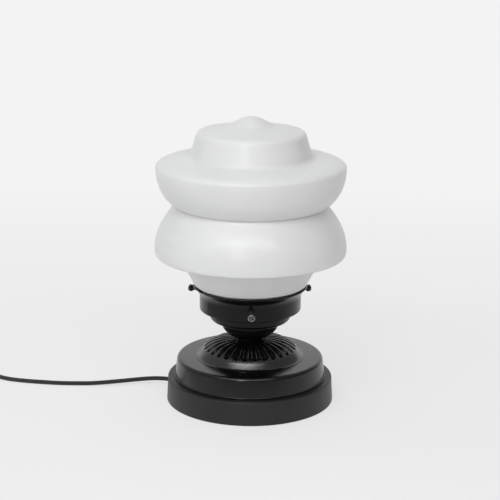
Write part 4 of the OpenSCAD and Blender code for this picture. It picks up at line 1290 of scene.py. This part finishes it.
class SCREW_CAP:
    """Round thread of the bulb's cap and of its holder."""

    pitch = 0.0036
    depth = 0.0006
    step = 0.0003
    segments = 96


class LAMP_OT_lampholder(bpy.types.Operator):
    """Lampholder under the shade"""

    bl_idname = "lamp.lampholder"
    bl_label = "Lampholder"

    def execute(self, context):
        wall, radius, finish = 0.0018, half_width("holder_body"), "gloss_holder_plastic"
        foot, split, top = low("holder_cap").z, low("holder_body").z, high("holder_body").z
        narrow, cone_h = radius - 0.003, 0.007
        cap = outline([(ROD_HOLE, foot, 0), (narrow, foot, 0.002), (radius, foot + cone_h, 0.003),
                       (radius, split, 0)])
        cover = turned("holder_cap_cover", shell(cap, wall, 0.0003), finish)
        place_piece(cover, "base", "holder_plastic", "holder_cap")
        thread_r, sheet = half_width("holder_thread"), 0.0008
        mouth, inside = thread_r + 0.0012, radius - wall
        sleeve = outline([(inside, split, 0), (radius, split, 0.0003), (radius, top, 0.0012),
                          (mouth, top, 0.0005), (mouth, top - wall, 0), (inside, top - wall, 0)])
        ribs_from, ribs_to = split + 0.003, split + 0.017
        body = patterned("holder_sleeve", dense(sleeve, 0.0008), finish, "Rolled turning", Segments=384,
                         Waves_round=48, Depth=0.0005, Start=ribs_from, End=ribs_to, Run_out=0.0012)
        place_piece(body, "base", "holder_plastic", "holder_body")
        inner, outer = low("holder_thread").z, high("holder_thread").z
        rolled = vectors((thread_r - sheet, inner), (thread_r, inner), (thread_r, outer),
                         (thread_r - sheet, outer))
        thread = patterned("holder_thread_sleeve", dense(rolled, SCREW_CAP.step), "plain_brass",
                           "Rolled turning", Segments=SCREW_CAP.segments, Waves_up=1 / SCREW_CAP.pitch,
                           Shift=0.5, Depth=-SCREW_CAP.depth, Start=inner, End=outer, Run_out=SCREW_CAP.pitch)
        place_piece(thread, "base", "brass", "holder_thread")
        dress("glazed_ceramic", "holder_insert")
        dress("plain_brass", "holder_contact")
        dress("zinc_plated_steel", "terminal_screws")
        return {"FINISHED"}


class LAMP_OT_bulb(bpy.types.Operator):
    """Frosted bulb with its screw cap"""

    bl_idname = "lamp.bulb"
    bl_label = "Bulb"

    def execute(self, context):
        foot, top = low("bulb_globe").z, high("bulb_globe").z
        cap_foot, cap_top = low("bulb_cap").z, high("bulb_cap").z
        radius, collar = half_width("bulb_globe"), half_width("bulb_cap")
        middle, sheet = top - radius, 0.0006
        stem = collar - sheet - SCREW_CAP.depth - 0.0001
        points = vectors((0, foot), (stem, foot), (stem, cap_top), (collar, cap_top))
        neck, cheek = (collar, cap_top + 0.012), (radius, middle - 0.014)
        points += curve(points[-1], neck, cheek, (radius, middle))
        points += [Vector((radius * math.cos(a), middle + radius * math.sin(a)))
                   for a in [math.radians(3 * i) for i in range(1, 30)]] + vectors((0, top))
        place_piece(turned("bulb_glass_globe", points, "frosted_bulb_glass", 128, False),
                    "bulb", "bulb_glass", "bulb_globe")
        wall = outline([(collar - sheet, cap_foot, 0), (collar, cap_foot, 0.0002), (collar, cap_top, 0.0002),
                        (collar - sheet, cap_top, 0)], 3)
        cap = patterned("bulb_screw_cap", dense(wall, SCREW_CAP.step), "rolled_aluminium", "Rolled turning",
                        Segments=SCREW_CAP.segments, Waves_up=1 / SCREW_CAP.pitch, Depth=SCREW_CAP.depth,
                        Start=cap_foot + 0.001, End=cap_top - 0.004, Run_out=SCREW_CAP.pitch)
        place_piece(cap, "bulb", "bulb_metal", "bulb_cap")
        dress("zinc_plated_steel", "bulb_contact")
        return {"FINISHED"}


class LAMP_PT_panel(bpy.types.Panel):
    """Sidebar list of what dresses the lamp"""

    bl_idname = "LAMP_PT_panel"
    bl_label = "Opal table lamp"
    bl_space_type = "VIEW_3D"
    bl_region_type = "UI"
    bl_category = "Lamp"

    def draw(self, context):
        for operator in STEPS:
            self.layout.operator(operator.bl_idname)


STEPS = (LAMP_OT_stage, LAMP_OT_switch, LAMP_OT_plug, LAMP_OT_cords, LAMP_OT_shade, LAMP_OT_base,
         LAMP_OT_dome, LAMP_OT_gallery, LAMP_OT_thumbscrews, LAMP_OT_lampholder, LAMP_OT_bulb)
GROUPS = {"lamp_shade": LampShadeSizes, "lamp_base": LampBaseSizes, "lamp_cord": LampCordSizes,
          "lamp_colours": LampColours}


def register():
    for name, group in GROUPS.items():
        bpy.utils.register_class(group)
        setattr(bpy.types.Scene, name, PointerProperty(type=group))
    for made in (*STEPS, LAMP_PT_panel):
        bpy.utils.register_class(made)


def unregister():
    for made in (LAMP_PT_panel, *reversed(STEPS)):
        bpy.utils.unregister_class(made)
    for name, group in GROUPS.items():
        delattr(bpy.types.Scene, name)
        bpy.utils.unregister_class(group)


def main():
    """Builds the whole lamp."""
    register()
    bpy.ops.lamp.stage()
    bpy.ops.lamp.switch()
    bpy.ops.lamp.plug()
    bpy.ops.lamp.cords()
    bpy.ops.lamp.shade()
    bpy.ops.lamp.base()
    bpy.ops.lamp.dome()
    bpy.ops.lamp.gallery()
    bpy.ops.lamp.thumbscrews()
    bpy.ops.lamp.lampholder()
    bpy.ops.lamp.bulb()


if __name__ == "__main__":
    main()
